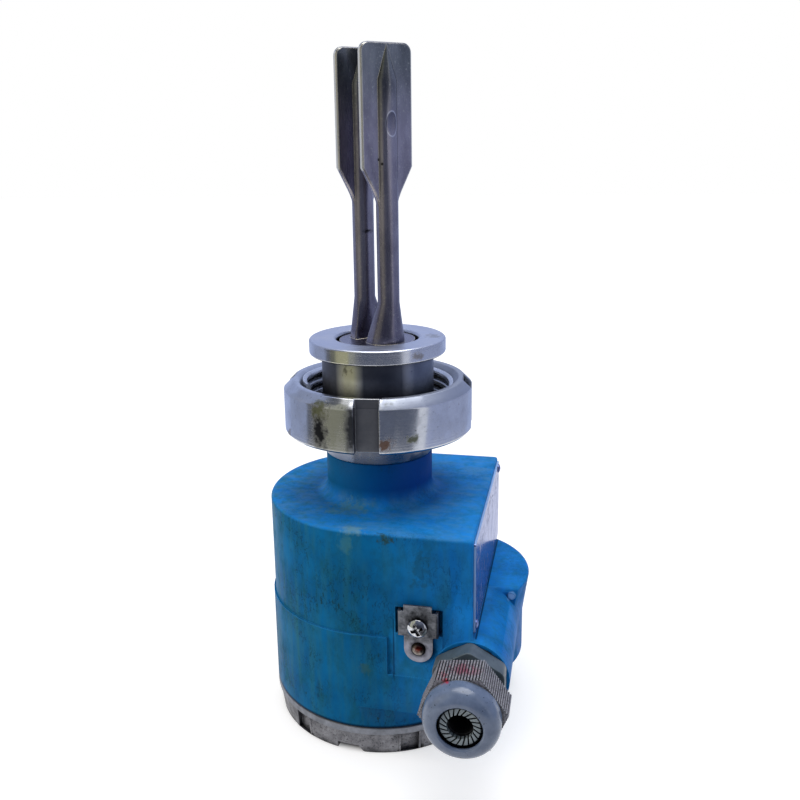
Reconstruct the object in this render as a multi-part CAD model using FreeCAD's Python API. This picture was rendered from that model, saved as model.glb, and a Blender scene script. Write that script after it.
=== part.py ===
"""Vibrating fork level switch with a cast housing, a cable gland and a dairy union.

Millimetres, +Z up. The origin is the centre of the lid's underside, on the fork's axis.
The plate side of the housing faces +X and the cable gland points to -Y.
"""
import FreeCAD
import Part
import math
import os

Vector = FreeCAD.Vector

# Clearances
RUN = 0.3            # between pieces that move past each other
SNUG = 0.1           # between pieces that are seated together
OVERLAP = 1.0        # how far joined forms reach into each other

# Screw-on lid
COVER_HEIGHT = 12.8
COVER_FLANGE = 3.5
COVER_RING_STEP = 1.0
COVER_DRAFT = 0.6
COVER_FLOOR = 4.5
COVER_THREAD_LENGTH = 9.0
COVER_THREAD_WALL = 3.2
COVER_EDGE = 0.5
GRIP_COUNT = 6
PANEL_ANGLE = -64.0
PANEL_WIDTH = 7.5
PANEL_LOW = 0.7
PANEL_DEPTH = 1.5
PANEL_RIB_WIDTH = 0.9
PANEL_RIB_PROUD = 0.2
NOTCH_ANGLE = -94.5
NOTCH_WIDTH = 11.5
NOTCH_HEIGHT = 3.0
NOTCH_SLANT = 2.6
NOTCH_DEPTH = 5.0
SEAL_GAP = 0.4
SEAL_WIDTH = 2.6
SEAL_GROOVE_DEPTH = 1.6
SEAL_INSET = 0.8

# Cast housing
HOUSING_RADIUS = 46.3
FLAT_X = 45.7
HOUSING_HEIGHT = 83.8
WALL = 4.5
RIM_WALL = 5.0
CORNER_EDGE = 1.2
DRUM_HEIGHT = 9.2
BAND_STEP = 0.7
BAND_HEIGHT = 41.0
BAND_END_X = 12.6
BAND_RECESS_HEIGHT = 25.2
NECK_RADIUS = 22.2
NECK_HEIGHT = 18.2
NECK_FILLET = 5.0
NECK_EDGE = 0.6
STEM_RADIUS = 15.7

# Conduit along the plate side, and the rounded block that it runs into
CONDUIT_RADIUS = 14.8
CONDUIT_INSET = 0.5
CONDUIT_HEIGHT = 28.8
CONDUIT_PROUD = 1.7
CONDUIT_BORE = 8.5
BLOCK_FRONT_Y = -4.0
BLOCK_RADIUS = 37.7
BLOCK_CENTRE_X = 25.5
BLOCK_CENTRE_Y = 12.2
BLOCK_ABOVE_AXIS = 15.0
BLOCK_BELOW_AXIS = 22.5
BLOCK_TAPER = 2.6
BLOCK_TAPER_HEIGHT = 18.0
BLOCK_EDGE = 1.0
STUD_RADIUS = 1.6
STUD_PROUD = 0.9
STUD_X = 11.3
STUD_Z = 11.8

# Nameplate
PLATE_THICKNESS = 0.8
PLATE_EDGE_GAP = 1.4
PLATE_SIDE_GAP = 1.0
PLATE_CORNER = 2.0
RIVET_INSET = 3.0
RIVET_HEAD = 1.9
RIVET_RISE = 0.9
RIVET_SHANK = 1.1
RIVET_LENGTH = 3.4

# Outside earth terminal on the front wall
EARTH_X = 25.1
EARTH_SCREW_HEIGHT = 48.2
EARTH_RIVET_DROP = 10.0
PAD_WIDTH = 18.3
PAD_PROUD = 0.5
POCKET_HEIGHT = 11.0
POCKET_BELOW_SCREW = 4.7
POCKET_DEPTH = 3.0
STRIP_WIDTH = 11.2
STRIP_THICKNESS = 1.0
STRIP_TOP = 5.0
SADDLE_WIDTH = 15.6
SADDLE_THICKNESS = 1.0
SADDLE_WING = 3.2
SADDLE_ABOVE = 6.2
SADDLE_BELOW = 4.4
TAB_WIDTH = 10.9
TAB_TOP = 8.8
EARTH_SHANK = 1.95
EARTH_SHANK_LENGTH = 12.0
EARTH_HEAD = 3.75
EARTH_HEAD_RISE = 2.8
EARTH_HEAD_RIM = 1.2
CROSS_LENGTH = 4.8
CROSS_WIDTH = 1.2
CROSS_DEPTH = 1.7
EARTH_RIVET_HEAD = 2.75
EARTH_RIVET_RISE = 1.5
EARTH_RIVET_SHANK = 1.9
EARTH_RIVET_LENGTH = 3.6
EARTH_BOSS_WALL = 3.4

# Cable gland, measured outwards from the conduit's front end
GLAND_RING = 0.5
GLAND_RING_WIDTH = 2.2
GLAND_HEX = 27.0
GLAND_HEX_LENGTH = 7.5
GLAND_SHANK = 11.0
GLAND_SHANK_LENGTH = 11.0
GLAND_BORE = 9.6
GLAND_SLEEVE = 12.0
GLAND_SLEEVE_END = 22.0
DOME_START = 10.9
DOME_HEX = 28.6
DOME_HEX_TURN = 7.0
DOME_HEX_LENGTH = 12.4
RIBS_PER_FACE = 15
RIB_DEPTH = 0.65
RIB_LAND = 0.5
DOME_RADIUS = 14.1
DOME_LENGTH = 20.6
DOME_NOSE = 5.4
DOME_MOUTH = 8.2
DOME_MOUTH_EDGE = 0.5
DOME_LIP = 1.2
CLAW_WALL = 1.7
CLAW_BASE_LENGTH = 8.0
CLAW_FLANGE = 1.4
CLAW_COUNT = 21
CLAW_SLOT = 0.45
CLAW_LEAN = 2.6
CLAW_TIP_BACK = 1.6
CLAW_TIP_RADIUS = 7.2
CLAW_LAND = 1.7
BUSH_BACK = 1.2
CABLE_RADIUS = 4.6

# Process adapter and union nut
COLLAR_RADIUS = 22.4
COLLAR_STEP = 1.8
COLLAR_HEIGHT = 9.3
SPIGOT_RADIUS = 23.0
SPIGOT_HEIGHT = 32.2
DISC_RADIUS = 28.0
DISC_THICKNESS = 6.1
DISC_EDGE = 0.6
STEM_WALL = 3.2
STEM_END = 2.5
DISC_MOUTH = 0.8
HUB_GROOVE = 1.3
HUB_RECESS = 1.0
HUB_HEIGHT = 14.0
NUT_RADIUS = 39.0
NUT_HEIGHT = 21.4
NUT_TOP_CHAMFER = 3.5
NUT_LOW_CHAMFER = 1.0
NUT_LIP = 6.5
NUT_LIP_GAP = 0.5
NUT_THREAD_RADIUS = 30.8
NUT_MOUTH_RADIUS = 33.3
NUT_SLOT_COUNT = 4
NUT_SLOT_ANGLE = -84.0
NUT_SLOT_WIDTH = 9.5
NUT_SLOT_DEPTH = 4.0
NECK_RING_HEIGHT = 2.6
NECK_RING_DEPTH = 1.6
NECK_RING_DROP = 8.0
LOCK_NUT_HEX = 42.0
LOCK_NUT_HEIGHT = 6.0

# Fork
FORK_LENGTH = 113.6
FORK_ANGLE = -45.0
HUB_RADIUS = 15.5
DIAPHRAGM = 2.5
TINE_OFFSET = 9.15
ROD_RADIUS = 4.35
PADDLE_HALF_WIDTH = 11.3
PADDLE_THICKNESS = 2.35
PADDLE_LENGTH = 45.0
PADDLE_TAPER = 13.5
PADDLE_SWEEP = 20.0
PADDLE_CORNER = 3.6
PADDLE_EDGE = 0.5
RIB_POINT = 13.5
FOOT_HEIGHT = 16.5
FOOT_HALF_WIDTH = 8.1
FOOT_INNER = 5.55
FOOT_SIDE = 1.35
FOOT_CREST = 4.75
FOOT_BACK_EDGE = 120.0
FOOT_FRONT_EDGE = 62.0
DIMPLE_DROP = 29.2
DIMPLE_DEPTH = 0.6
DIMPLE_GRIND = 16.0

# Drive inside the fork's hub
STACK_GAP = 1.8
PIEZO_COUNT = 4
PIEZO_THICKNESS = 2.2
SHIM_THICKNESS = 0.3
WASHER_THICKNESS = 2.0
PRESSURE_SCREW_LENGTH = 15.0
LEAD_RADIUS = 1.2

# Electronic insert
INSERT_LEVEL = 26.8
INSERT_FLANGE = 4.0
INSERT_GAP = 1.0
BOSS_RADIUS = 5.5
BOSS_INSET = 4.8
BOSS_ANGLES = (95.0, 180.0, 265.0)
BOSS_SCREW = 1.6
BOSS_SCREW_HEAD = 3.1
BOSS_SCREW_HEAD_RISE = 2.4
BOSS_SCREW_LENGTH = 12.0
CUP_GAP = 4.0
CUP_EDGE = 1.5
TERMINAL_COUNT = 4
TERMINAL_PITCH = 9.0
TERMINAL_DEPTH = 16.0
TERMINAL_HEIGHT = 11.0
TERMINAL_X = -12.0
TERMINAL_WELL = 2.6
TERMINAL_WELL_DEPTH = 7.0
TERMINAL_SCREW_LENGTH = 4.5
WIRE_HOLE_WIDTH = 4.6
WIRE_HOLE_HEIGHT = 5.0
WIRE_HOLE_DEPTH = 8.0
SLIDER_X = 14.0
SLIDER_SIZE = 3.0
SLIDER_TRAVEL = 3.0
SLIDER_RISE = 1.5
SLIDER_POCKET = 2.4
LAMP_X = 14.0
LAMP_Y = 12.0
LAMP_RADIUS = 1.6
LAMP_RISE = 2.2

# Heights that follow from the sizes above
DRUM_RADIUS = HOUSING_RADIUS + BAND_STEP
THREAD_RADIUS = DRUM_RADIUS - RIM_WALL
Z_BODY = COVER_HEIGHT + SEAL_GAP
Z_SHELF = Z_BODY + DRUM_HEIGHT
Z_BAND = Z_BODY + BAND_HEIGHT
Z_RECESS = Z_BODY + BAND_RECESS_HEIGHT
Z_ROOF = Z_BODY + HOUSING_HEIGHT
Z_CEILING = Z_ROOF - WALL
Z_NECK = Z_ROOF + NECK_HEIGHT
Z_SEAT = Z_NECK + COLLAR_HEIGHT
Z_NUT = Z_SEAT + RUN
Z_DISC = Z_SEAT + SPIGOT_HEIGHT
Z_FACE = Z_DISC + DISC_THICKNESS
Z_HUB = Z_FACE - HUB_RECESS
Z_HUB_SEAT = Z_HUB - HUB_HEIGHT
Z_TIP = Z_HUB + FORK_LENGTH
Z_STEM_END = Z_CEILING - LOCK_NUT_HEIGHT - STEM_END
Z_CONDUIT = Z_BODY + CONDUIT_HEIGHT
Z_BLOCK_TOP = Z_CONDUIT + BLOCK_ABOVE_AXIS
Z_EARTH = Z_BODY + EARTH_SCREW_HEIGHT
Z_POCKET = Z_EARTH - POCKET_BELOW_SCREW
Z_INSERT = Z_BODY + INSERT_LEVEL
Z_INSERT_TOP = Z_INSERT + INSERT_FLANGE
Z_CUP_TOP = Z_STEM_END - CUP_GAP

# Places that follow from the sizes above
CAVITY_RADIUS = HOUSING_RADIUS - WALL
NECK_BORE = STEM_RADIUS + RUN
STEM_BORE = STEM_RADIUS - STEM_WALL
HUB_BORE = HUB_RADIUS + HUB_GROOVE
CONDUIT_FRONT = -HOUSING_RADIUS - CONDUIT_PROUD
CONDUIT_X = FLAT_X - CONDUIT_INSET
PAD_FACE = -HOUSING_RADIUS - PAD_PROUD
POCKET_FLOOR = -HOUSING_RADIUS + POCKET_DEPTH
STRIP_FACE = PAD_FACE - STRIP_THICKNESS
SADDLE_BACK = STRIP_FACE - RUN
SADDLE_FACE = SADDLE_BACK - SADDLE_THICKNESS
BOSS_CIRCLE = CAVITY_RADIUS - BOSS_INSET
CUP_RADIUS = BOSS_CIRCLE - BOSS_RADIUS - CUP_GAP
INSERT_CLIP = CONDUIT_X - CONDUIT_RADIUS - 2 * INSERT_GAP


def plan_point(x, y):
    """Point of an outline that is drawn in plan."""
    return Vector(x, y, 0)


def side_point(radius, height):
    """Point of an outline that is turned about Z."""
    return Vector(radius, 0, height)


def outline(place, start, *steps):
    """Closed face. A step is an end point, or an arc's middle and end points."""
    edges = []
    here = start
    for step in steps + (start,):
        if isinstance(step[0], tuple):
            middle, end = step
            edges.append(Part.Arc(place(*here), place(*middle), place(*end)).toShape())
        else:
            end = step
            edges.append(Part.LineSegment(place(*here), place(*end)).toShape())
        here = end
    return Part.Face(Part.Wire(edges))


def lift(face, low, high):
    """Prism over a plan outline."""
    prism = face.extrude(Vector(0, 0, high - low))
    prism.translate(Vector(0, 0, low))
    return prism


def turned(start, *steps):
    """Solid turned about Z from a half outline."""
    return outline(side_point, start, *steps).revolve(Vector(), Vector(0, 0, 1), 360)


def bar_z(radius, low, high, x=0.0, y=0.0):
    """Upright round bar."""
    return Part.makeCylinder(radius, high - low, Vector(x, y, low))


def bar_y(radius, front, back, x, z):
    """Round bar along Y."""
    return Part.makeCylinder(radius, back - front, Vector(x, front, z), Vector(0, 1, 0))


def brick(x_low, x_high, y_low, y_high, z_low, z_high):
    """Block between two corners."""
    return Part.makeBox(x_high - x_low, y_high - y_low, z_high - z_low, Vector(x_low, y_low, z_low))


def ring(outer, inner, low, high):
    """Flat ring about Z."""
    return bar_z(outer, low, high).cut(bar_z(inner, low - OVERLAP, high + OVERLAP))


def join(shape, *others):
    """One solid from forms that meet."""
    return shape.multiFuse(list(others)).removeSplitter()


def cut_away(shape, cutters):
    """Shape less a list of cutters."""
    return shape.cut(Part.makeCompound(cutters))


def turn_z(shape, degrees):
    """Copy turned about the fork's axis."""
    copy = shape.copy()
    copy.rotate(Vector(), Vector(0, 0, 1), degrees)
    return copy


def spread(shape, count, first):
    """Copies spaced evenly about the fork's axis."""
    return [turn_z(shape, first + 360.0 * k / count) for k in range(count)]


def face_front(shape, x, y, z):
    """Move a form that was drawn upright so that it points to -Y from a place."""
    copy = shape.copy()
    copy.rotate(Vector(), Vector(1, 0, 0), 90)
    copy.translate(Vector(x, y, z))
    return copy


def face_plate_side(shape, x, y, z):
    """Move a form that was drawn upright so that it points to +X from a place."""
    copy = shape.copy()
    copy.rotate(Vector(), Vector(0, 1, 0), 90)
    copy.translate(Vector(x, y, z))
    return copy


def hexagon(across_flats, low, high, turn=0.0):
    """Hexagonal prism about Z, with a corner at the given angle."""
    corner = across_flats / math.sqrt(3)
    angles = [math.radians(turn + 60 * k) for k in range(6)]
    points = [(corner * math.cos(a), corner * math.sin(a)) for a in angles]
    return lift(outline(plan_point, *points), low, high)


def edges_where(shape, test):
    """Edges whose two ends both pass a test."""
    return [e for e in shape.Edges if all(test(v.Point) for v in e.Vertexes)]


def u_prism(radius, flat_x, low, high):
    """Plan of the housing: half a circle, two straight walls and the plate side."""
    half_circle = ((-radius, 0), (0, radius))
    return lift(outline(plan_point, (0, -radius), half_circle, (flat_x, radius), (flat_x, -radius)), low, high)


def domed_head(radius, rise, rim):
    """Half outline of a domed head that stands on height 0, from its rim to its crown."""
    crown = rise - rim
    sphere = (radius ** 2 + crown ** 2) / (2 * crown)
    half = math.asin(radius / sphere) / 2
    middle = (sphere * math.sin(half), rise - sphere + sphere * math.cos(half))
    return (radius, 0), (radius, rim), (middle, (0, rise))


def housing_outside():
    """Outer form of the casting, before it is hollowed."""
    body = u_prism(HOUSING_RADIUS, FLAT_X, Z_SHELF, Z_ROOF)
    top = edges_where(body, lambda p: p.z > Z_ROOF - SNUG)
    corners = edges_where(body, lambda p: p.x > FLAT_X - SNUG)
    upright = [e for e in corners if abs(e.Vertexes[0].Z - e.Vertexes[1].Z) > OVERLAP]
    body = body.makeFillet(CORNER_EDGE, top + upright)
    band = u_prism(DRUM_RADIUS, FLAT_X, Z_SHELF, Z_BAND)
    corners = edges_where(band, lambda p: p.x > FLAT_X - SNUG)
    upright = [e for e in corners if abs(e.Vertexes[0].Z - e.Vertexes[1].Z) > OVERLAP]
    band = band.makeFillet(CORNER_EDGE, upright)
    band = band.cut(brick(BAND_END_X, 2 * FLAT_X, -2 * DRUM_RADIUS, 0, Z_RECESS, Z_ROOF))
    drum = bar_z(DRUM_RADIUS, Z_BODY, Z_SHELF + OVERLAP)
    flare = NECK_RADIUS + NECK_FILLET
    bend = NECK_FILLET * math.cos(math.radians(45))
    neck = turned(
        (0, Z_CEILING + OVERLAP),
        (flare, Z_CEILING + OVERLAP),
        (flare, Z_ROOF),
        ((flare - bend, Z_ROOF + NECK_FILLET - bend), (NECK_RADIUS, Z_ROOF + NECK_FILLET)),
        (NECK_RADIUS, Z_NECK - NECK_EDGE),
        (NECK_RADIUS - NECK_EDGE, Z_NECK),
        (0, Z_NECK),
    )
    half_pad = PAD_WIDTH / 2
    pad = brick(EARTH_X - half_pad, EARTH_X + half_pad, PAD_FACE, PAD_FACE + WALL, Z_RECESS, Z_POCKET + OVERLAP)
    return join(body, band, drum, neck, pad, *conduit_outside())


def conduit_outside():
    """Half-sunk conduit on the plate side, its rounded block and the small stud on the block."""
    conduit = bar_y(CONDUIT_RADIUS, CONDUIT_FRONT, BLOCK_CENTRE_Y, CONDUIT_X, Z_CONDUIT)
    low = Z_CONDUIT - BLOCK_BELOW_AXIS
    waist = BLOCK_RADIUS - BLOCK_TAPER
    waist_level = Z_BLOCK_TOP - BLOCK_TAPER_HEIGHT
    block = turned((0, low), (waist, low), (waist, waist_level), (BLOCK_RADIUS, Z_BLOCK_TOP), (0, Z_BLOCK_TOP))
    block.translate(Vector(BLOCK_CENTRE_X, BLOCK_CENTRE_Y, 0))
    reach = 4 * BLOCK_RADIUS
    block = block.common(brick(FLAT_X - WALL / 2, reach, BLOCK_FRONT_Y, reach, 0, reach))
    level = [e for e in block.Edges if e.BoundBox.XMax > FLAT_X + WALL and e.BoundBox.ZLength < SNUG]
    rim = [e for e in level if abs(e.BoundBox.ZMin - waist_level) > SNUG]
    block = block.makeFillet(BLOCK_EDGE, rim)
    stud_front = BLOCK_FRONT_Y - STUD_PROUD
    stud = bar_y(STUD_RADIUS, stud_front, BLOCK_FRONT_Y + OVERLAP, FLAT_X + STUD_X, Z_CONDUIT + STUD_Z)
    return conduit, block, stud


def housing_hollow():
    """Space inside the casting, with the conduit's inner wall left standing."""
    hollow = u_prism(CAVITY_RADIUS, FLAT_X - WALL, Z_SHELF + WALL, Z_CEILING)
    hollow = join(hollow, bar_z(THREAD_RADIUS, Z_BODY - OVERLAP, Z_SHELF + WALL + OVERLAP))
    hollow = hollow.cut(bar_y(CONDUIT_RADIUS, CONDUIT_FRONT, BLOCK_FRONT_Y, CONDUIT_X, Z_CONDUIT))
    turn_back = BLOCK_CENTRE_Y + CONDUIT_RADIUS
    turning_space = brick(
        FLAT_X - 2 * WALL, CONDUIT_X + CONDUIT_BORE, BLOCK_FRONT_Y - OVERLAP, turn_back,
        Z_CONDUIT - CONDUIT_BORE, Z_CONDUIT + CONDUIT_BORE,
    )
    return [
        hollow,
        turning_space,
        bar_y(CONDUIT_BORE, CONDUIT_FRONT - OVERLAP, BLOCK_FRONT_Y + OVERLAP, CONDUIT_X, Z_CONDUIT),
        bar_y(
            GLAND_SHANK + RUN, CONDUIT_FRONT - OVERLAP, CONDUIT_FRONT + GLAND_SHANK_LENGTH + RUN,
            CONDUIT_X, Z_CONDUIT,
        ),
        bar_z(NECK_BORE, Z_CEILING - OVERLAP, Z_NECK + OVERLAP),
    ]


def boss_places():
    """Centres of the bosses that carry the electronic insert."""
    angles = [math.radians(a) for a in BOSS_ANGLES]
    return [(BOSS_CIRCLE * math.cos(a), BOSS_CIRCLE * math.sin(a)) for a in angles]


def plate_rivet_places():
    """Places of the plate's rivets on the flat side: front low and back high."""
    reach = HOUSING_RADIUS - PLATE_SIDE_GAP - RIVET_INSET
    low = Z_BLOCK_TOP + PLATE_EDGE_GAP + RIVET_INSET
    high = Z_ROOF - PLATE_EDGE_GAP - RIVET_INSET
    return [(-reach, low), (reach, high)]


def housing_shell():
    """Die-cast housing with its neck, conduit, bosses and every hole."""
    shell = cut_away(housing_outside(), housing_hollow())
    bosses = [bar_z(BOSS_RADIUS, Z_INSERT_TOP, Z_CEILING + OVERLAP, x, y) for x, y in boss_places()]
    earth_boss_radius = EARTH_SHANK + EARTH_BOSS_WALL
    earth_boss_end = SADDLE_FACE + EARTH_SHANK_LENGTH + OVERLAP
    bosses.append(bar_y(earth_boss_radius, -CAVITY_RADIUS - OVERLAP, earth_boss_end, EARTH_X, Z_EARTH))
    shell = join(shell, *bosses)
    half_pad = PAD_WIDTH / 2
    cutters = [
        brick(
            EARTH_X - half_pad, EARTH_X + half_pad, -2 * HOUSING_RADIUS, POCKET_FLOOR,
            Z_POCKET, Z_POCKET + POCKET_HEIGHT,
        ),
        bar_y(EARTH_SHANK + RUN, -2 * HOUSING_RADIUS, earth_boss_end + OVERLAP, EARTH_X, Z_EARTH),
        bar_y(
            EARTH_RIVET_SHANK + SNUG, -2 * HOUSING_RADIUS, PAD_FACE + EARTH_RIVET_LENGTH + SNUG,
            EARTH_X, Z_EARTH - EARTH_RIVET_DROP,
        ),
    ]
    screw_end = Z_INSERT + BOSS_SCREW_LENGTH + OVERLAP
    cutters += [bar_z(BOSS_SCREW + SNUG, Z_INSERT, screw_end, x, y) for x, y in boss_places()]
    hole = bar_z(RIVET_SHANK + SNUG, -RIVET_LENGTH - SNUG, OVERLAP)
    cutters += [face_plate_side(hole, FLAT_X, y, z) for y, z in plate_rivet_places()]
    return cut_away(shell, cutters)


def seal_radii():
    """Inner and outer radius of the lid's seal."""
    inner = THREAD_RADIUS + SEAL_INSET
    return inner, inner + SEAL_WIDTH


def housing_cover():
    """Cast lid: flange, gripped ring and threaded collar."""
    flange_low = COVER_HEIGHT - COVER_FLANGE
    ring_radius = DRUM_RADIUS - COVER_RING_STEP
    seal_inner, seal_outer = seal_radii()
    groove_floor = COVER_HEIGHT - SEAL_GROOVE_DEPTH
    thread = THREAD_RADIUS - RUN
    thread_top = COVER_HEIGHT + COVER_THREAD_LENGTH
    bore = thread - COVER_THREAD_WALL
    lid = turned(
        (0, 0),
        (ring_radius - COVER_DRAFT - COVER_EDGE, 0),
        (ring_radius - COVER_DRAFT, COVER_EDGE),
        (ring_radius, flange_low),
        (DRUM_RADIUS - COVER_EDGE, flange_low),
        (DRUM_RADIUS, flange_low + COVER_EDGE),
        (DRUM_RADIUS, COVER_HEIGHT - COVER_EDGE),
        (DRUM_RADIUS - COVER_EDGE, COVER_HEIGHT),
        (seal_outer + SNUG, COVER_HEIGHT),
        (seal_outer + SNUG, groove_floor),
        (seal_inner - SNUG, groove_floor),
        (seal_inner - SNUG, COVER_HEIGHT),
        (thread, COVER_HEIGHT),
        (thread, thread_top - COVER_EDGE),
        (thread - COVER_EDGE, thread_top),
        (bore, thread_top),
        (bore, COVER_FLOOR),
        (0, COVER_FLOOR),
    )
    half_panel = PANEL_WIDTH / 2
    panel_low = ring_radius - COVER_DRAFT - PANEL_DEPTH
    rib_face = ring_radius + PANEL_RIB_PROUD
    rib = brick(panel_low, rib_face, half_panel, half_panel + PANEL_RIB_WIDTH, PANEL_LOW, flange_low + SNUG)
    rib = rib.fuse(rib.mirror(Vector(), Vector(0, 1, 0)))
    lid = join(lid, *spread(rib, GRIP_COUNT, PANEL_ANGLE))
    panel = brick(panel_low, 2 * ring_radius, -half_panel, half_panel, PANEL_LOW, flange_low)
    half_notch = NOTCH_WIDTH / 2
    notch_face = outline(
        lambda across, height: Vector(ring_radius - NOTCH_DEPTH, across, height),
        (-half_notch, -SNUG), (-half_notch, NOTCH_HEIGHT),
        (half_notch - NOTCH_SLANT, NOTCH_HEIGHT), (half_notch, -SNUG),
    )
    notch = notch_face.extrude(Vector(2 * NOTCH_DEPTH, 0, 0))
    cutters = spread(panel, GRIP_COUNT, PANEL_ANGLE) + spread(notch, GRIP_COUNT, NOTCH_ANGLE)
    return cut_away(lid, cutters)


def cover_seal():
    """Rubber ring in the lid's groove."""
    inner, outer = seal_radii()
    return ring(outer, inner, COVER_HEIGHT - SEAL_GROOVE_DEPTH, Z_BODY)


def name_plate():
    """Bare sheet plate on the flat side."""
    half = HOUSING_RADIUS - PLATE_SIDE_GAP
    low = Z_BLOCK_TOP + PLATE_EDGE_GAP
    plate = brick(FLAT_X, FLAT_X + PLATE_THICKNESS, -half, half, low, Z_ROOF - PLATE_EDGE_GAP)
    corners = [e for e in plate.Edges if e.BoundBox.XLength > PLATE_THICKNESS / 2]
    plate = plate.makeFillet(PLATE_CORNER, corners)
    hole = bar_z(RIVET_SHANK + SNUG, -OVERLAP, PLATE_THICKNESS + OVERLAP)
    return cut_away(plate, [face_plate_side(hole, FLAT_X, y, z) for y, z in plate_rivet_places()])


def plate_rivets():
    """Drive rivets of the plate."""
    head = turned(*domed_head(RIVET_HEAD, RIVET_RISE, RIVET_RISE / 3), (0, 0))
    rivet = join(head, bar_z(RIVET_SHANK, -RIVET_LENGTH - PLATE_THICKNESS, OVERLAP / 2))
    face = FLAT_X + PLATE_THICKNESS
    return Part.makeCompound([face_plate_side(rivet, face, y, z) for y, z in plate_rivet_places()])


def earth_strip():
    """Tongue that is riveted to the pad and lies under the saddle."""
    half = STRIP_WIDTH / 2
    low = Z_EARTH - EARTH_RIVET_DROP
    face = outline(
        lambda x, z: Vector(x, STRIP_FACE, z),
        (EARTH_X - half, low), ((EARTH_X, low - half), (EARTH_X + half, low)),
        (EARTH_X + half, Z_EARTH + STRIP_TOP), (EARTH_X - half, Z_EARTH + STRIP_TOP),
    )
    strip = face.extrude(Vector(0, STRIP_THICKNESS, 0))
    back = PAD_FACE + OVERLAP
    return cut_away(strip, [
        bar_y(EARTH_RIVET_SHANK + SNUG, STRIP_FACE - OVERLAP, back, EARTH_X, low),
        bar_y(EARTH_SHANK + RUN, STRIP_FACE - OVERLAP, back, EARTH_X, Z_EARTH),
    ])


def earth_saddle():
    """Bent clamp: a face plate with two wings turned into the pocket and a tab on top."""
    half = SADDLE_WIDTH / 2
    low = Z_EARTH - SADDLE_BELOW
    high = Z_EARTH + SADDLE_ABOVE
    plate = brick(EARTH_X - half, EARTH_X + half, SADDLE_FACE, SADDLE_BACK, low, high)
    wing_back = SADDLE_BACK + SADDLE_WING
    wings = [
        brick(EARTH_X - half, EARTH_X - half + SADDLE_THICKNESS, SADDLE_FACE, wing_back, low, high),
        brick(EARTH_X + half - SADDLE_THICKNESS, EARTH_X + half, SADDLE_FACE, wing_back, low, high),
    ]
    half_tab = TAB_WIDTH / 2
    tab = brick(EARTH_X - half_tab, EARTH_X + half_tab, SADDLE_FACE, SADDLE_BACK, Z_EARTH, Z_EARTH + TAB_TOP)
    saddle = join(plate, tab, *wings)
    bends = edges_where(saddle, lambda p: p.y < SADDLE_FACE + SNUG and abs(abs(p.x - EARTH_X) - half) < SNUG)
    saddle = saddle.makeFillet(SADDLE_THICKNESS * 0.9, bends)
    return saddle.cut(bar_y(EARTH_SHANK + RUN, SADDLE_FACE - OVERLAP, wing_back, EARTH_X, Z_EARTH))


def earth_screw():
    """Cross-recessed pan-head screw."""
    head = turned(*domed_head(EARTH_HEAD, EARTH_HEAD_RISE, EARTH_HEAD_RIM), (0, 0))
    screw = join(head, bar_z(EARTH_SHANK, -EARTH_SHANK_LENGTH, OVERLAP))
    slot_floor = EARTH_HEAD_RISE - CROSS_DEPTH
    half_long = CROSS_LENGTH / 2
    half_wide = CROSS_WIDTH / 2
    slot = brick(-half_long, half_long, -half_wide, half_wide, slot_floor, EARTH_HEAD_RISE + OVERLAP)
    screw = cut_away(screw, [turn_z(slot, 20), turn_z(slot, 110)])
    return face_front(screw, EARTH_X, SADDLE_FACE - SNUG, Z_EARTH)


def earth_rivet():
    """Domed rivet that holds the strip's lower end."""
    head = turned(*domed_head(EARTH_RIVET_HEAD, EARTH_RIVET_RISE, EARTH_RIVET_RISE / 4), (0, 0))
    rivet = join(head, bar_z(EARTH_RIVET_SHANK, -EARTH_RIVET_LENGTH - STRIP_THICKNESS, EARTH_RIVET_RISE / 2))
    return face_front(rivet, EARTH_X, STRIP_FACE, Z_EARTH - EARTH_RIVET_DROP)


def at_gland(shape):
    """Place a gland piece, drawn upright, on the conduit's front end."""
    return face_front(shape, CONDUIT_X, CONDUIT_FRONT, Z_CONDUIT)


def gland_body():
    """Hexagon flange with a threaded shank behind it and a sleeve for the dome nut."""
    hex_end = GLAND_RING + GLAND_HEX_LENGTH
    body = join(
        hexagon(GLAND_HEX, GLAND_RING, hex_end, 30),
        bar_z(GLAND_SHANK, -GLAND_SHANK_LENGTH, GLAND_RING + OVERLAP),
        bar_z(GLAND_SLEEVE, hex_end - OVERLAP, GLAND_SLEEVE_END),
    )
    return at_gland(body.cut(bar_z(GLAND_BORE, -2 * GLAND_SHANK_LENGTH, 2 * GLAND_SLEEVE_END)))


def gland_o_ring():
    """Sealing ring between the hexagon and the conduit."""
    inner = GLAND_SHANK + RUN
    return at_gland(ring(inner + GLAND_RING_WIDTH, inner, 0, GLAND_RING))


def dome_levels():
    """Ends of the dome nut's ribbed part and nose."""
    return DOME_START + DOME_HEX_LENGTH, DOME_START + DOME_LENGTH


def ribbed_hexagon(across_flats, low, high, turn):
    """Hexagonal prism whose faces carry fine upright ribs."""
    apothem = across_flats / 2
    side = across_flats / math.sqrt(3)
    pitch = side / RIBS_PER_FACE
    points = []
    for face in range(6):
        angle = math.radians(turn + 30 + 60 * face)
        for rib in range(RIBS_PER_FACE):
            start = -side / 2 + rib * pitch
            land_end = start + RIB_LAND * pitch
            groove = (land_end + start + pitch) / 2
            for along, depth in ((start, 0), (land_end, 0), (groove, RIB_DEPTH)):
                out = apothem - depth
                points.append((
                    out * math.cos(angle) - along * math.sin(angle),
                    out * math.sin(angle) + along * math.cos(angle),
                ))
    return lift(outline(plan_point, *points), low, high)


def dome_inner_radius(level):
    """Radius of the dome nut's inner cone at a level."""
    ribs_end, nose = dome_levels()
    bore = GLAND_SLEEVE + RUN
    share = (level - ribs_end) / (nose - DOME_LIP - ribs_end)
    return bore + (DOME_MOUTH - bore) * share


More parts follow.
